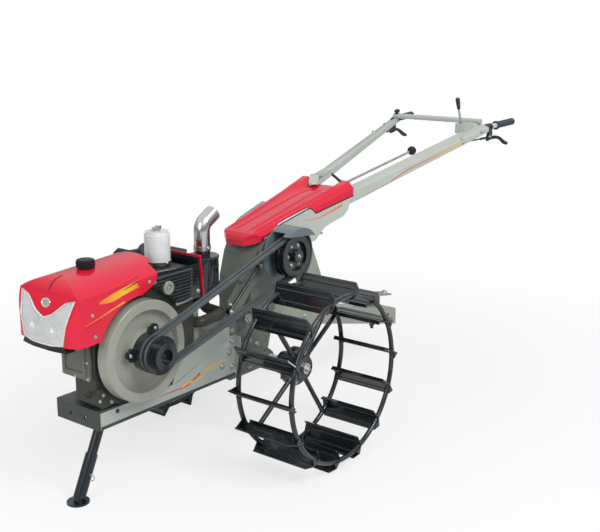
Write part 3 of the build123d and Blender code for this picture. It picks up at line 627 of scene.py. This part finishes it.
def slab(bm, where, outline, low, high):
    """A flat plate from a frame's outline in millimetres."""
    loops = []
    for z in (low, high):
        loops.append([bm.verts.new(where @ Vector((x * MM, y * MM, z * MM))) for x, y in outline])
    skin(bm, loops)


def block(bm, xs, ys, zs):
    """A plate between two corners."""
    outline = [(xs[0], ys[0]), (xs[1], ys[0]), (xs[1], ys[1]), (xs[0], ys[1])]
    slab(bm, Matrix.Translation(place(0, 0, 0)), outline, *zs)


def side_plate(bm, outline, y0, y1):
    """A plate from a side outline between two widths."""
    skin(bm, [[bm.verts.new(place(x, y, z)) for x, z in outline] for y in (y0, y1)])


def wing_nut(bm, where, profile, tip, half, low, high):
    """A turned nut with a pointed wing at each side."""
    lathe(bm, where, profile, 18)
    for sign in SIGNS:
        wing = [(sign * 5, -half), (sign * 20, -half), (sign * tip, 0), (sign * 20, half), (sign * 5, half)]
        slab(bm, where, wing, low, high)


def band(bm, points, half, thick):
    """A flat strap along a line of points, with its top up."""
    loops = []
    for i, p in enumerate(points):
        ahead = (points[min(i + 1, len(points) - 1)] - points[max(i - 1, 0)]).normalized()
        across = UP.cross(ahead).normalized() * half * MM
        rise = ahead.cross(across).normalized() * thick * MM
        section = (p - across, p + across, p + across + rise, p - across + rise)
        loops.append([bm.verts.new(q) for q in section])
    skin(bm, loops)


def bead(bm, hits, radius, lift):
    """A round line that rises from a face and sinks back into it at both ends."""
    fade_steps = 3
    line = []
    for i, (hit, normal) in enumerate(hits):
        fade = max(0.0, 1 - min(i, len(hits) - 1 - i) / fade_steps)
        line.append(hit + normal * (lift - (radius + lift) * 1.1 * fade) * MM)
    pipe(bm, line, radius, 12)


def put(name, data):
    """A new object of the scene."""
    obj = bpy.data.objects.new(name, data)
    scene.collection.objects.link(obj)
    return obj


def piece(name, bm, material, body="chassis"):
    """Turn a mesh into a piece that rides on a body."""
    bmesh.ops.recalc_face_normals(bm, faces=bm.faces)
    mesh = bpy.data.meshes.new(name)
    bm.to_mesh(mesh)
    bm.free()
    mesh.materials.append(material)
    for face in mesh.polygons:
        face.use_smooth = True
    mesh.set_sharp_from_angle(angle=math.radians(SHARP_ANGLE))
    obj = put(name, mesh)
    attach(obj, body)
    return obj


# Stripes

# Each printed film with its node, finish and lines. A line has points, first and last width, and lift.
PRINTED_LINES = [
    ("stripe_hood_line", "hood", LINE_FILM, [
        ([(853, 688), (793, 702), (728, 720), (684, 732)], 2, 6, DECAL_LIFT)]),
    ("stripe_hood_stroke", "hood", SEAM, [
        ([(688, 772), (619, 789)], 2, 5, OVER_LIFT)]),
    ("stripe_rail", "frame_rails", RAIL_RED, [
        ([(499, 328), (430, 327), (364, 327), (327, 341), (292, 356)], 2, 9, DECAL_LIFT)]),
    ("stripe_rail_line", "frame_rails", RAIL_YELLOW, [
        ([(388, 329), (352, 336), (306, 334), (274, 352), (248, 366), (203, 368), (148, 370)], 7, 4,
         OVER_LIFT),
        ([(252, 359), (220, 357), (171, 357)], 4, 2, DECAL_LIFT)]),
    ("stripe_bar_line", "handle_tubes", BAR_RED, [
        ([(-660, 874), (-736, 895), (-876, 933)], 3, 4, DECAL_LIFT)]),
    ("stripe_bar", "handle_tubes", BAR_FILM, [
        ([(-891, 939), (-988, 975), (-1054, 992), (-1138, 1012), (-1259, 1040), (-1390, 1073)], 3, 7,
         DECAL_LIFT)]),
    ("stripe_panel", "side_panels", PANEL_FILM, [
        ([(-330, 846), (-420, 842), (-569, 876)], 4, 9, DECAL_LIFT)]),
]


def film(bm, node, side, edges, lift):
    """A printed film between two lines that lies on a node's face."""
    rows = []
    for edge in edges:
        hits = [spot(node, side, p.x, p.y) for p in edge]
        rows.append([bm.verts.new(hit + normal * lift * MM) for hit, normal in hits])
    for k in range(len(rows[0]) - 1):
        bm.faces.new((rows[0][k], rows[0][k + 1], rows[1][k + 1], rows[1][k]))


def line_edges(points, wide_from, wide_to):
    """Both edges of a soft line of changing width."""
    soft = flat_line(points)
    last = len(soft) - 1
    edges = ([], [])
    for i, p in enumerate(soft):
        ahead = soft[min(i + 1, last)] - soft[max(i - 1, 0)]
        across = Vector((-ahead.y, ahead.x, 0)).normalized()
        half = (wide_from + (wide_to - wide_from) * i / last) / 2
        edges[0].append(p + across * half)
        edges[1].append(p - across * half)
    return edges


def add_stripes():
    """Plain colour films on hood, rails, bars and panels."""
    wedge = [
        [(792, 755), (735, 770), (684, 781), (593, 798)],
        [(789, 747), (736, 744), (683, 756), (613, 770)],
    ]
    bm = bmesh.new()
    for side in SIGN_OF:
        film(bm, "hood", side, [flat_line(edge) for edge in wedge], DECAL_LIFT)
    piece("stripe_hood", bm, HOOD_FILM)
    for name, node, finish, lines in PRINTED_LINES:
        bm = bmesh.new()
        for side in SIGN_OF:
            for points, wide_from, wide_to, lift in lines:
                film(bm, node, side, line_edges(points, wide_from, wide_to), lift)
        piece(name, bm, finish)


# Bolts

def bolts(name, size, places, body="chassis", material=ZINC):
    """Bolt heads of one size on the faces of some nodes."""
    bm = bmesh.new()
    for node, side, spots in places:
        for u, v in spots:
            bolt(bm, *spot(node, side, u, v), size)
    piece(name, bm, material, body)


def add_bolts():
    """Bolt heads on the CAD nodes."""
    for side in SIGN_OF:
        bolts(f"bolts_hood_{side}", 6, [("hood", side, [(821, 717), (814, 643), (567, 777)])])
        bolts(f"bolts_frame_{side}", 11, [
            ("frame_rails", side, [(170, 349), (129, 395), (112, 330), (112, 436)]),
            ("hitch_bracket", side, [(-200, 470), (-260, 440), (-420, 400), (-540, 360)]),
            ("axle_housings", side, around(AXLE, HOUSING_BOLT_R, range(30, 390, 60))),
        ])
        bolts(f"bolt_rail_{side}", 7, [("frame_rails", side, [(702, 338)])], material=BLACK_STEEL)
        bolts(f"bolts_bar_{side}", 8, [
            ("side_panels", side, [(-206, 765), (-206, 805)]),
            ("handle_tubes", side, [(-1397, 1089), (-1398, 1071), (-1541, 1113)]),
            ("hand_levers", side, [(-1622, 1082)]),
        ])
    bolts("bolts_gear_plate", 10, [
        ("gear_plate", "left", [(106, 476), (110, 580), (-58, 700)]),
        ("control_rods", "left", [(128, 560), (-52, 706)]),
    ])
    bolts("bolts_engine_front", 6, [
        ("engine_front_cover", "front", [(-45, 475), (18, 475), (81, 475), (-45, 593), (18, 593), (81, 593),
                                         (-45, 534), (81, 534)]),
    ])
    bolts("bolts_head", 8, [("cylinder_head", "rear", [(-92, 520), (68, 520), (-92, 612), (68, 612)])])
    bolts("bolts_drawbar", 15, [("drawbar", "top", [(-1150, -10), (-985, -10)])])
    bolts("bolts_gate", 6, [("lever_gate", "top", [(-1480, 224), (-1540, 224)])])
    for side in SIGN_OF:
        wheel = f"wheel_{side}"
        hub_spots = around(AXLE, HUB_BOLT_R, range(15, 375, 90))
        bolts(f"bolts_hub_{side}", 9, [(f"cage_{side}", side, hub_spots)], wheel)
        bolts(f"bolt_axle_{side}", 13, [(f"axle_{side}", side, [AXLE])], wheel)
    spider_spots = around(CRANK, SPIDER_R, SPIDER_ANGLES)
    bolts("bolts_spider", 7, [("engine_pulley", "left", spider_spots)], "crank")
    bolts("bolt_crank", 11, [("engine_pulley", "left", [CRANK])], "crank", BLACK_STEEL)
    driven_spots = around(DRIVEN, DRIVEN_BOLT_R, range(0, 360, 60)) + [DRIVEN]
    bolts("bolts_driven", 8, [("driven_pulley", "left", driven_spots)], "input_pulley")


# Plates and covers

def add_rail_plates():
    """End flanges and gusset plates of the rails, and their rolled lower edges in dark paint that is painted shade
    under the rails.
    """
    low, high = corners("frame_rails")
    flange_reach = 24
    flange_x = (low.x + 2, low.x + 8)
    flange_z = (low.z + 28, high.z - 4)
    gusset = [(436, 350), (124, 454), (124, 496), (170, 508), (300, 466), (410, 424)]
    gusset_thick = 6
    edge_r = 7.5
    bm = bmesh.new()
    for sign in SIGNS:
        ys = sorted((sign * (high.y - SINK), sign * (high.y + flange_reach)))
        block(bm, flange_x, ys, flange_z)
    for y in (high.y - gusset_thick, low.y):
        side_plate(bm, gusset, y, y + gusset_thick)
    piece("rail_plates", bm, RAIL_PAINT)
    bm = bmesh.new()
    # Rolled lower edges in the dark plate paint: painted shade along the rails' undersides
    for y in (high.y - 4, low.y + 4):
        pipe(bm, [place(high.x - 2, y, low.z + 6), place(low.x + 12, y, low.z + 6)], edge_r, 20)
    piece("rail_edges_painted_shade", bm, SHADE_PLATE_PAINT)


def add_guard_lip():
    """Lip of the pulley guard over the clutch pulley's rim, with its end plate."""
    low, high = corners("pulley_guard")
    radius = (high.x - low.x) / 2
    thick = 4
    outer_y = high.y + 34
    turn = [50 + 90 * k / 16 for k in range(17)]
    outer = around(DRIVEN, radius, turn)
    inner = around(DRIVEN, radius - thick, reversed(turn))
    bm = bmesh.new()
    side_plate(bm, outer, outer_y - thick, outer_y)
    side_plate(bm, outer + inner, high.y - SINK, outer_y - thick + 1)
    piece("guard_face", bm, GUARD_PAINT)


def add_right_covers():
    """Bolted covers at the right of the gear case and the engine."""
    cover = [(-44, 520), (-50, 636), (-80, 736), (-118, 790), (-186, 804), (-216, 782), (-216, 694),
             (-168, 500)]
    face_y = -CASE_Y - CASE_COVER_T
    mid_x = sum(x for x, _ in cover) / len(cover)
    mid_z = sum(z for _, z in cover) / len(cover)
    turned = [(92, -1), (92, 6), (89, 8), (66, 8), (62, 16), (40, 20), (36, 34), (20, 36), (18, 30)]
    turned_rim = 8
    bm = bmesh.new()
    side_plate(bm, cover, face_y, SINK - CASE_Y)
    piece("case_cover", bm, CASE_PAINT)
    bm = bmesh.new()
    for x, z in cover:
        bolt(bm, place(x + (mid_x - x) * 0.12, face_y, z + (mid_z - z) * 0.10), -LEFT, 7)
    for x, z in around(ENGINE_COVER, 78, range(0, 360, 45)):
        bolt(bm, place(x, ENGINE_COVER_Y - turned_rim, z), -LEFT, 7)
    piece("bolts_right_side", bm, ZINC)
    bm = bmesh.new()
    lathe(bm, stand_on(place(ENGINE_COVER[0], ENGINE_COVER_Y, ENGINE_COVER[1]), -LEFT), turned, 48)
    piece("engine_side_cover", bm, DARK_IRON)


def span_at(outline, z):
    """Lowest and highest x of a closed side outline at one height."""
    crossings = []
    for (x0, z0), (x1, z1) in zip(outline, outline[1:] + outline[:1]):
        if (z0 - z) * (z1 - z) < 0:
            crossings.append(x0 + (x1 - x0) * (z - z0) / (z1 - z0))
    return min(crossings), max(crossings)


def add_fan_guard():
    """Louvred guard at the left of the engine, the plates behind it (the black rear one is painted shade over the
    red sheet's front face), its round cap, foot strip and bolts.
    """
    back, face = FAN_YS
    heights = [z for _, z in FAN_SIDE]
    rear_shade_plate = [(312.5, 781), (290, 780), (281, 652), (316, 653)]
    cross_plate = [(292, 804), (289, 804), (276, 628), (279, 628)]
    cross_plate_right = -112
    cap = [(25, -2), (25, 8), (23, 10), (15, 10), (13, 6), (8, 6), (7, 9), (0.5, 9.5)]
    foot_strip = [(414, 650), (332, 656), (332, 664), (414, 658)]
    bolt_places = [(513, face, 757), (296, face - 1, 679)]
    bm = bmesh.new()
    side_plate(bm, FAN_SIDE, back, face)
    z = min(heights) + LOUVRE_INSET
    while z < max(heights) - 2 * LOUVRE_INSET:
        x0, x1 = span_at(FAN_SIDE, z)
        slat = [(face - 1, z + LOUVRE_OUT), (face + LOUVRE_OUT, z), (face + LOUVRE_OUT, z + LOUVRE_T),
                (face - 1, z + LOUVRE_OUT + LOUVRE_T)]
        ends = []
        for x in (x0 + LOUVRE_INSET, x1 - LOUVRE_INSET):
            ends.append([bm.verts.new(place(x, y, height)) for y, height in slat])
        skin(bm, ends)
        z += LOUVRE_PITCH
    guard = piece("fan_louvres", bm, BLACK_STEEL)
    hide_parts("fan_guard")
    bm = bmesh.new()
    # Black rear plate: painted shade that covers the red sheet's front face beside the guard
    side_plate(bm, rear_shade_plate, back, face - 1)
    side_plate(bm, cross_plate, cross_plate_right, face)
    piece("fan_cross_plate_and_shade_plate", bm, BLACK_STEEL)
    bm = bmesh.new()
    lathe(bm, stand_on(place(FAN_CAP[0], face, FAN_CAP[1]), LEFT), cap, 36)
    side_plate(bm, foot_strip, face - 1, face + 5)
    piece("fan_cap", bm, MATERIALS["grey_paint"])
    bm = bmesh.new()
    for point in bolt_places:
        bolt(bm, place(*point), LEFT, 8)
    piece("bolts_fan", bm, ZINC)


def add_engine_flange():
    """Bolted foot flange of the crankcase beside the flywheel."""
    outline = [(786, 440), (766, 440), (742, 410), (716, 388), (690, 374), (690, 366), (770, 366), (786, 384)]
    inner_y, outer_y = 103.5, 110
    bm = bmesh.new()
    side_plate(bm, outline, inner_y, outer_y)
    piece("engine_flange", bm, DARK_IRON)
    bm = bmesh.new()
    for x, z in ((760, 414), (726, 380), (776, 396)):
        bolt(bm, place(x, outer_y, z), LEFT, 6)
    piece("bolts_flange", bm, ZINC)


def add_case_plug():
    """Plug in the gear plate's boss and the long bolt under the drawbar."""
    boss_face = corners("gear_plate")[1].y
    boss_x, boss_z = 62, 524
    bolt_x, bolt_y = -1016, 10
    plug = [(18.5, -8), (18.5, 1), (17, 3), (13.5, 3), (12.5, 0.5), (6, 0.5), (5, 4), (0.5, 4.5)]
    long_bolt = [(18, -2), (18, 4), (13, 4), (13, 15), (8, 16), (8, 30), (3, 32)]
    bm = bmesh.new()
    lathe(bm, stand_on(place(boss_x, boss_face, boss_z), LEFT), plug, 32)
    piece("case_plug", bm, ZINC)
    bm = bmesh.new()
    hit, _ = spot("drawbar", "below", bolt_x, bolt_y)
    lathe(bm, stand_on(hit, -UP), long_bolt, 24)
    piece("drawbar_bolt", bm, BLACK_STEEL)


def add_stand_pin():
    """Length pin of the stand with its wire ring."""
    x, z = STAND_PIN
    reach = STAND_SLEEVE_R + 5
    pin_r = 4
    ring_r = 12
    wire_r = 1.8
    ring_axis = Vector((1, 0.4, 0)).normalized()
    bm = bmesh.new()
    pipe(bm, [place(x, -reach, z), place(x, reach, z)], pin_r, 14)
    ring(bm, place(x, reach - 1, z - ring_r + 2), ring_axis, ring_r, wire_r)
    piece("stand_pin", bm, ZINC, "stand")


# Cage wheels

LUG_ANGLES = [LUG_FIRST + k * 360 / LUG_COUNT for k in range(LUG_COUNT)]


def wheel_point(angle, y, sign, radius=HOOP_R):
    """A point at an angle and a radius of a wheel, on the hoop if no radius is given."""
    x, z = around(AXLE, radius, [angle])[0]
    return place(x, sign * y, z)


def weld(bm, at, ahead):
    """A weld bead round a pipe."""
    ring(bm, at, ahead, HOOP_PIPE_R, WELD_R, 16, 6)


def add_welds():
    """Weld beads where lugs and spokes meet the hoops and the flange."""
    for side, sign in SIGN_OF.items():
        bm = bmesh.new()
        for lug_angle in LUG_ANGLES:
            for y in HOOP_YS:
                for angle in (lug_angle - WELD_STEP, lug_angle + WELD_STEP):
                    a = math.radians(angle)
                    weld(bm, wheel_point(angle, y, sign), Vector((-math.sin(a), 0, math.cos(a))))
        for angle in SPOKE_ANGLES:
            foot = wheel_point(angle, SPOKE_FOOT_Y, sign, SPOKE_FOOT_R)
            tip = wheel_point(angle, HOOP_YS[0], sign)
            ahead = (tip - foot).normalized()
            weld(bm, tip - ahead * SPOKE_WELDS[1] * MM, ahead)
            weld(bm, foot + ahead * SPOKE_WELDS[0] * MM, ahead)
        piece(f"welds_{side}", bm, WELD, f"wheel_{side}")


def add_lug_ridges():
    """Pressed ridges and rolled outer edge of the lugs."""
    inner = HOOP_YS[0] - HOOP_PIPE_R + RIDGE_INSETS[0]
    outer = HOOP_YS[1] + HOOP_PIPE_R - RIDGE_INSETS[1]
    for side, sign in SIGN_OF.items():
        bm = bmesh.new()
        for angle in LUG_ANGLES:
            lean = math.radians(angle + LUG_TILT)
            out = Vector((math.cos(lean), 0, math.sin(lean)))
            for reach, radius in LUG_RIDGES:
                ends = [wheel_point(angle, y, sign) + out * reach * MM for y in (inner, outer)]
                pipe(bm, ends, radius, 12)
        piece(f"lug_ridges_{side}", bm, BLACK_STEEL, f"wheel_{side}")


# Handlebars and cover

def add_grips():
    """Ribbed rubber grips with a collar and a rounded end."""
    bm = bmesh.new()
    for sign in SIGNS:
        start = place(GRIP_START[0], sign * GRIP_START[1], GRIP_START[2])
        end = place(GRIP_END[0], sign * GRIP_END[1], GRIP_END[2])
        length = (end - start).length / MM
        profile = [(14, 0), (21, 0.5), (22, 2), (22, 6), (20, 8), (17, 10)]
        at = 14.0
        while at < length - 12:
            profile += [(15.6, at), (17.2, at + 2), (17.2, at + 5), (15.6, at + 7)]
            at += RIB_PITCH
        profile += [(17, length - 6), (15.5, length - 2), (12, length)]
        lathe(bm, stand_on(start, (end - start).normalized()), profile, 28)
    grips = piece("grips_ribbed", bm, MATERIALS["grip_rubber"])
    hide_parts("grips")


def flare_y(x):
    """Half width over cover and panels at a place along the machine."""
    share = (FLARE_FRONT[0] - x) / (FLARE_FRONT[0] - FLARE_REAR[0])
    return FLARE_FRONT[1] + (FLARE_REAR[1] - FLARE_FRONT[1]) * share


def add_cover_seam():
    """Dark seam under the cover's edge."""
    edge = [(-112, 811), (-196, 849), (-359, 890), (-376, 885), (-400, 863), (-638, 907)]
    bm = bmesh.new()
    for sign in SIGNS:
        pipe(bm, [place(x, sign * (flare_y(x) + 0.2), z) for x, z in edge], 2.2, 8)
    piece("cover_seam", bm, SEAM)


def add_levers():
    """Knobs, lever blades, gate rod and the clamp on the crossbar."""
    low, high = corners("crossbar")
    crossbar = (low + high) / 2
    clamp_y = -236
    knob = (-1261, 60, 1031)
    knob_axis = Vector((-0.98, 0.07, 0.19)).normalized()
    tip_axis = Vector((-0.9, 0, -0.43)).normalized()
    gate_rod = [(-1500, 196, 1122), (-1456.5, 199.9, 1226)]
    blade = [(-1612, 284, 1072), (-1660, 292, 1077), (-1706, 298, 1068), (-1750, 301, 1043),
             (-1780, 301, 1036)]
    tip_x, tip_y, tip_z = blade[-1]
    clamp = [(11, -4), (11, 3), (7, 4), (7, 14), (4, 15), (4, 24), (1, 25)]
    bm = bmesh.new()
    ball(bm, place(*knob), knob_axis, 21.6)
    for sign in SIGNS:
        ball(bm, place(tip_x, sign * tip_y, tip_z), tip_axis, 8.6)
    piece("lever_balls", bm, CAP_PLASTIC)
    bm = bmesh.new()
    for sign in SIGNS:
        pipe(bm, smooth_line([place(x, sign * y, z) for x, y, z in blade], 6), 8.2, 14)
    piece("lever_blades", bm, CAP_PLASTIC)
    bm = bmesh.new()
    pipe(bm, [place(*point) for point in gate_rod], 5.2, 14)
    piece("gate_rod", bm, MATERIALS["stack_chrome"])
    bm = bmesh.new()
    where = stand_on(place(crossbar.x, clamp_y, crossbar.z + 12), UP)
    wing_nut(bm, where, clamp, tip=26, half=3, low=6, high=20)
    piece("crossbar_clamp", bm, BLACK_STEEL)


def over_nose(y_nose, y_tail):
    """Places up the cover's nose and back along its top."""
    x_mid, z_mid, x_tail = -190, 800, -612
    nose_steps = 14
    top_steps = 24
    middle = place(x_mid, y_nose, z_mid)
    hits = []
    for k in range(nose_steps):
        rise = math.radians(10 + 80 * k / nose_steps)
        out = Vector((math.cos(rise), 0, math.sin(rise)))
        hits.append(cast("top_cover", middle + out, -out))
    for k in range(top_steps + 1):
        share = k / top_steps
        x = x_mid + (x_tail - x_mid) * share
        y = y_nose + (y_tail - y_nose) * share
        hits.append(spot("top_cover", "top", x, y))
    return hits


def add_beads():
    """Pressed beads of hood and cover, and the hood's dark top seam."""
    bm = bmesh.new()
    for side in SIGN_OF:
        bead(bm, along("hood", side, [(868, 678), (830, 687), (791, 697)]), 4.0, -1.6)
        bead(bm, along("hood", side, [(774, 774), (680, 793), (592, 805)]), 4.5, -2.0)
    for sign in SIGNS:
        for y_nose, y_tail in ((34, 28), (68, 108)):
            bead(bm, over_nose(sign * y_nose, sign * y_tail), 14.0, -8.5)
    piece("pressed_beads", bm, MATERIALS["red_paint"])
    bm = bmesh.new()
    bead(bm, along("hood", "top", [(874, 0), (845, 0), (812, 0)]), 2.4, -0.6)
    piece("hood_seam", bm, SEAM)


def add_bar_foot():
    """Flat rounded foot of the right bar on the cover, its bolt, and the latch stub under the bar."""
    strap = [(-840, -138, 964), (-742, -114, 955), (-676, -84, 965), (-645, -66, 957), (-600, -36, 938)]
    line = [place(*point) for point in strap]
    end = line[-1]
    lean = Vector((-0.25, -0.35, 0.9)).normalized()
    stub = [place(-846, -130, 958), place(-874, -116, 934), place(-898, -105, 912)]
    bm = bmesh.new()
    band(bm, line, BAR_FOOT_R, BAR_FOOT_T)
    drum(bm, stand_on(end, lean), BAR_FOOT_R, BAR_FOOT_R - 1, -2, BAR_FOOT_T, 32)
    piece("bar_foot", bm, MATERIALS["pale_paint"])
    bm = bmesh.new()
    bolt(bm, end + lean * BAR_FOOT_T * MM, lean, 9)
    piece("bolt_foot", bm, ZINC)
    bm = bmesh.new()
    pipe(bm, stub, 6.5, 14)
    ball(bm, stub[-1], Vector((-0.74, 0, -0.67)).normalized(), 9)
    piece("latch_stub", bm, BLACK_STEEL)


# Engine top

def add_engine_trim():
    """Muffler seams, clamps, wing nut and cap ridges on what stands on the engine."""
    can_x, can_r, can_low, can_high = upright("muffler")
    bowl_x, _, bowl_low, bowl_high = upright("air_cleaner")
    cap_x, cap_r, _, cap_high = upright("fuel_cap")
    # Height and thickness of each seam
    seams = ((can_low + 22, 3), (can_high - 26, 3), (can_low + 56, 1.6), (can_high - 60, 1.6))
    stack_band = [(30, 0), (33.5, 0), (33.5, 16), (30, 16)]
    bowl_band = [(46, 0), (49, 0), (49, 10), (46, 10)]
    cap_top = [(27, -1), (26, 2), (12, 3.2), (0.5, 3.4)]
    nut = [(12, -1), (12, 2), (7, 3), (7, 12), (4, 13), (4, 20), (1, 21)]
    ridge_count = 20
    ridge_rise = 19
    ridge_foot = cap_high - 23
    bm = bmesh.new()
    for z, thick in seams:
        ring(bm, place(can_x, 0, z), UP, can_r, thick, 48, 8)
    piece("muffler_seams", bm, BLACK_STEEL)
    bm = bmesh.new()
    lathe(bm, stand_on(place(can_x, 0, can_high + 2), UP), stack_band, 36)
    bolt(bm, place(can_x, 33, can_high + 10), LEFT, 7)
    lathe(bm, stand_on(place(bowl_x, 0, bowl_low + 11), UP), bowl_band, 40)
    bolt(bm, place(bowl_x, 49, bowl_low + 16), LEFT, 6)
    where = stand_on(place(bowl_x, 0, bowl_high), UP)
    wing_nut(bm, where, nut, tip=24, half=2.5, low=5, high=16)
    piece("engine_clamps", bm, ZINC)
    bm = bmesh.new()
    for c, s in circle(ridge_count):
        x = cap_x + cap_r * c
        y = cap_r * s
        pipe(bm, [place(x, y, ridge_foot), place(x, y, ridge_foot + ridge_rise)], 2.4, 8)
    lathe(bm, stand_on(place(cap_x, 0, cap_high), UP), cap_top, 32)
    piece("cap_ridges", bm, CAP_PLASTIC)


def add_lamp_trim():
    """Clear edge of the lamp glass and the two bulbs behind it."""
    edge = [(0, 702), (41, 718), (93, 759), (132, 770), (116, 700), (97, 627), (50, 620), (0, 620)]
    bulb = [(11, -1), (11, 14), (8, 22), (3, 26), (0.5, 26.5)]
    bulb_y, bulb_z = 52, 680
    bm = bmesh.new()
    for sign in SIGNS:
        pipe(bm, [spot("headlamp_lens", "front", sign * y, z)[0] for y, z in edge], 2.6, 10)
    piece("lamp_edge", bm, LAMP_EDGE)
    bm = bmesh.new()
    for sign in SIGNS:
        seat, _ = spot("headlamp_reflector", "front", sign * bulb_y, bulb_z)
        lathe(bm, stand_on(seat, AHEAD), bulb, 24)
    piece("lamp_bulbs", bm, LAMP_EDGE)


def add_engine_fittings():
    """Filter bowl, drain tap and pipes at the front and right of the crankcase."""
    bowl_at = (752, -84, 524)
    bowl = [(12, 0), (24, 4), (26, 14), (26, 62), (20, 68), (20, 80), (10, 84)]
    tap_at = (785, 66, 412)
    tap = [(11, -1), (11, 8), (7, 9), (7, 22), (10, 23), (10, 27), (4, 28)]
    # Each pipe's points, steps between them and radius
    pipes = (
        ([(752, -84, 606), (770, -90, 622), (772, -94, 650), (756, -96, 690)], 6, 4),
        ([(742, -98, 530), (736, -118, 500), (700, -132, 470), (648, -130, 462)], 6, 4),
        ([(300, -60, 600), (340, -124, 610), (440, -134, 590), (560, -133, 606)], 8, 3.2),
    )
    bm = bmesh.new()
    lathe(bm, stand_on(place(*bowl_at), UP), bowl, 28)
    lathe(bm, stand_on(place(*tap_at), AHEAD), tap, 18)
    block(bm, (690, 752), (-96, -70), (586, 600))
    piece("filter_and_tap", bm, DARK_IRON)
    bm = bmesh.new()
    for points, steps, radius in pipes:
        pipe(bm, smooth_line([place(*point) for point in points], steps), radius, 10)
    piece("engine_pipes", bm, ZINC)


def add_badge():
    """Blank oval plate on the nose."""
    half_wide, half_high = 19, 13
    badge_z = 750
    where = stand_on(*spot("hood", "front", 0, badge_z))
    oval = []
    rim = []
    for c, s in circle(40):
        oval.append((half_wide * c, half_high * s))
        rim.append(where @ Vector(((half_wide + 1) * MM * c, (half_high + 1) * MM * s, 1.4 * MM)))
    bm = bmesh.new()
    slab(bm, where, oval, -2, 1.6)
    pipe(bm, rim, 1.8, 8, closed=True)
    piece("badge", bm, MATERIALS["lamp_chrome"])


dress_nodes()
add_stripes()
add_bolts()
add_rail_plates()
add_guard_lip()
add_right_covers()
add_fan_guard()
add_engine_flange()
add_case_plug()
add_stand_pin()
add_welds()
add_lug_ridges()
add_grips()
add_cover_seam()
add_levers()
add_beads()
add_bar_foot()
add_engine_trim()
add_lamp_trim()
add_engine_fittings()
add_badge()


# Floor, world, lamps and camera

def make_floor():
    """A wide pale floor that keeps the shadow under a white surround."""
    mesh = bpy.data.meshes.new("floor")
    r = FLOOR_REACH
    mesh.from_pydata([(-r, -r, 0), (r, -r, 0), (r, r, 0), (-r, r, 0)], [], [(0, 1, 2, 3)])
    floor = put("floor", mesh)
    mat, tree, shader = new_material("floor")
    set_inputs(shader, {"Base Color": (0.86, 0.86, 0.86, 1), "Roughness": 0.9, "Specular IOR Level": 0.1})
    glow = add_node(tree, "ShaderNodeEmission", Color=(1, 1, 1, 1), Strength=1.0)
    path = tree.nodes.new("ShaderNodeLightPath")
    coords = add_node(tree, "ShaderNodeTexCoord")
    far = add_node(tree, "ShaderNodeVectorMath", operation="LENGTH")
    tree.links.new(coords.outputs["Object"], far.inputs[0])
    # The camera sees more glow further out, so the shadow shows only near the machine
    share = calc(tree, "MULTIPLY", path.outputs["Is Camera Ray"],
                 spread(tree, far.outputs["Value"], 0.70, 1.0, 0.9, 2.6))
    blend = tree.nodes.new("ShaderNodeMixShader")
    tree.links.new(share, blend.inputs["Fac"])
    tree.links.new(shader.outputs["BSDF"], blend.inputs[1])
    tree.links.new(glow.outputs["Emission"], blend.inputs[2])
    out = next(n for n in tree.nodes if n.type == "OUTPUT_MATERIAL")
    tree.links.new(blend.outputs["Shader"], out.inputs["Surface"])
    mesh.materials.append(mat)


def make_world():
    """White surround: full for camera and glass, brighter upwards for gloss, AMBIENT for matt faces."""
    world = bpy.data.worlds.new("studio")
    scene.world = world
    world.use_nodes = True
    tree = world.node_tree
    tree.nodes.clear()
    out = tree.nodes.new("ShaderNodeOutputWorld")
    back = add_node(tree, "ShaderNodeBackground", Color=(1, 1, 1, 1))
    rays = tree.nodes.new("ShaderNodeLightPath").outputs
    coords = add_node(tree, "ShaderNodeTexCoord")
    ceiling = spread(tree, axis_of(tree, coords.outputs["Generated"], "Z"), 0.25, 1.0, 0.0, 0.6)
    clear = calc(tree, "MAXIMUM", rays["Is Camera Ray"], rays["Is Transmission Ray"])
    shiny = calc(tree, "MULTIPLY", rays["Is Glossy Ray"], ceiling)
    matt = calc(tree, "MULTIPLY", rays["Is Diffuse Ray"], AMBIENT)
    level = calc(tree, "MAXIMUM", calc(tree, "MAXIMUM", clear, shiny), matt)
    tree.links.new(level, back.inputs["Strength"])
    tree.links.new(back.outputs["Background"], out.inputs["Surface"])


def add_lamp(name, at, size, power):
    """A soft square lamp that faces the tractor."""
    data = bpy.data.lights.new(name, "AREA")
    data.size = size
    data.energy = power
    lamp = put(name, data)
    lamp.location = at
    lamp.rotation_euler = (LAMP_AIM - Vector(at)).to_track_quat("-Z", "Y").to_euler()


def make_camera():
    """The photograph's viewing angle."""
    data = bpy.data.cameras.new("camera")
    data.lens = CAMERA_LENS
    data.sensor_width = SENSOR_WIDTH
    data.sensor_fit = "HORIZONTAL"
    camera = put("camera", data)
    camera.location = CAMERA_AT
    camera.rotation_euler = CAMERA_LOOK.to_track_quat("-Z", "Y").to_euler()
    scene.camera = camera


make_floor()
make_world()
add_lamp("key", at=(1.2, 4.4, 5.0), size=3.0, power=230)
add_lamp("front", at=(5.0, 0.5, 2.6), size=2.5, power=60)
make_camera()
scene.view_settings.view_transform = "Standard"
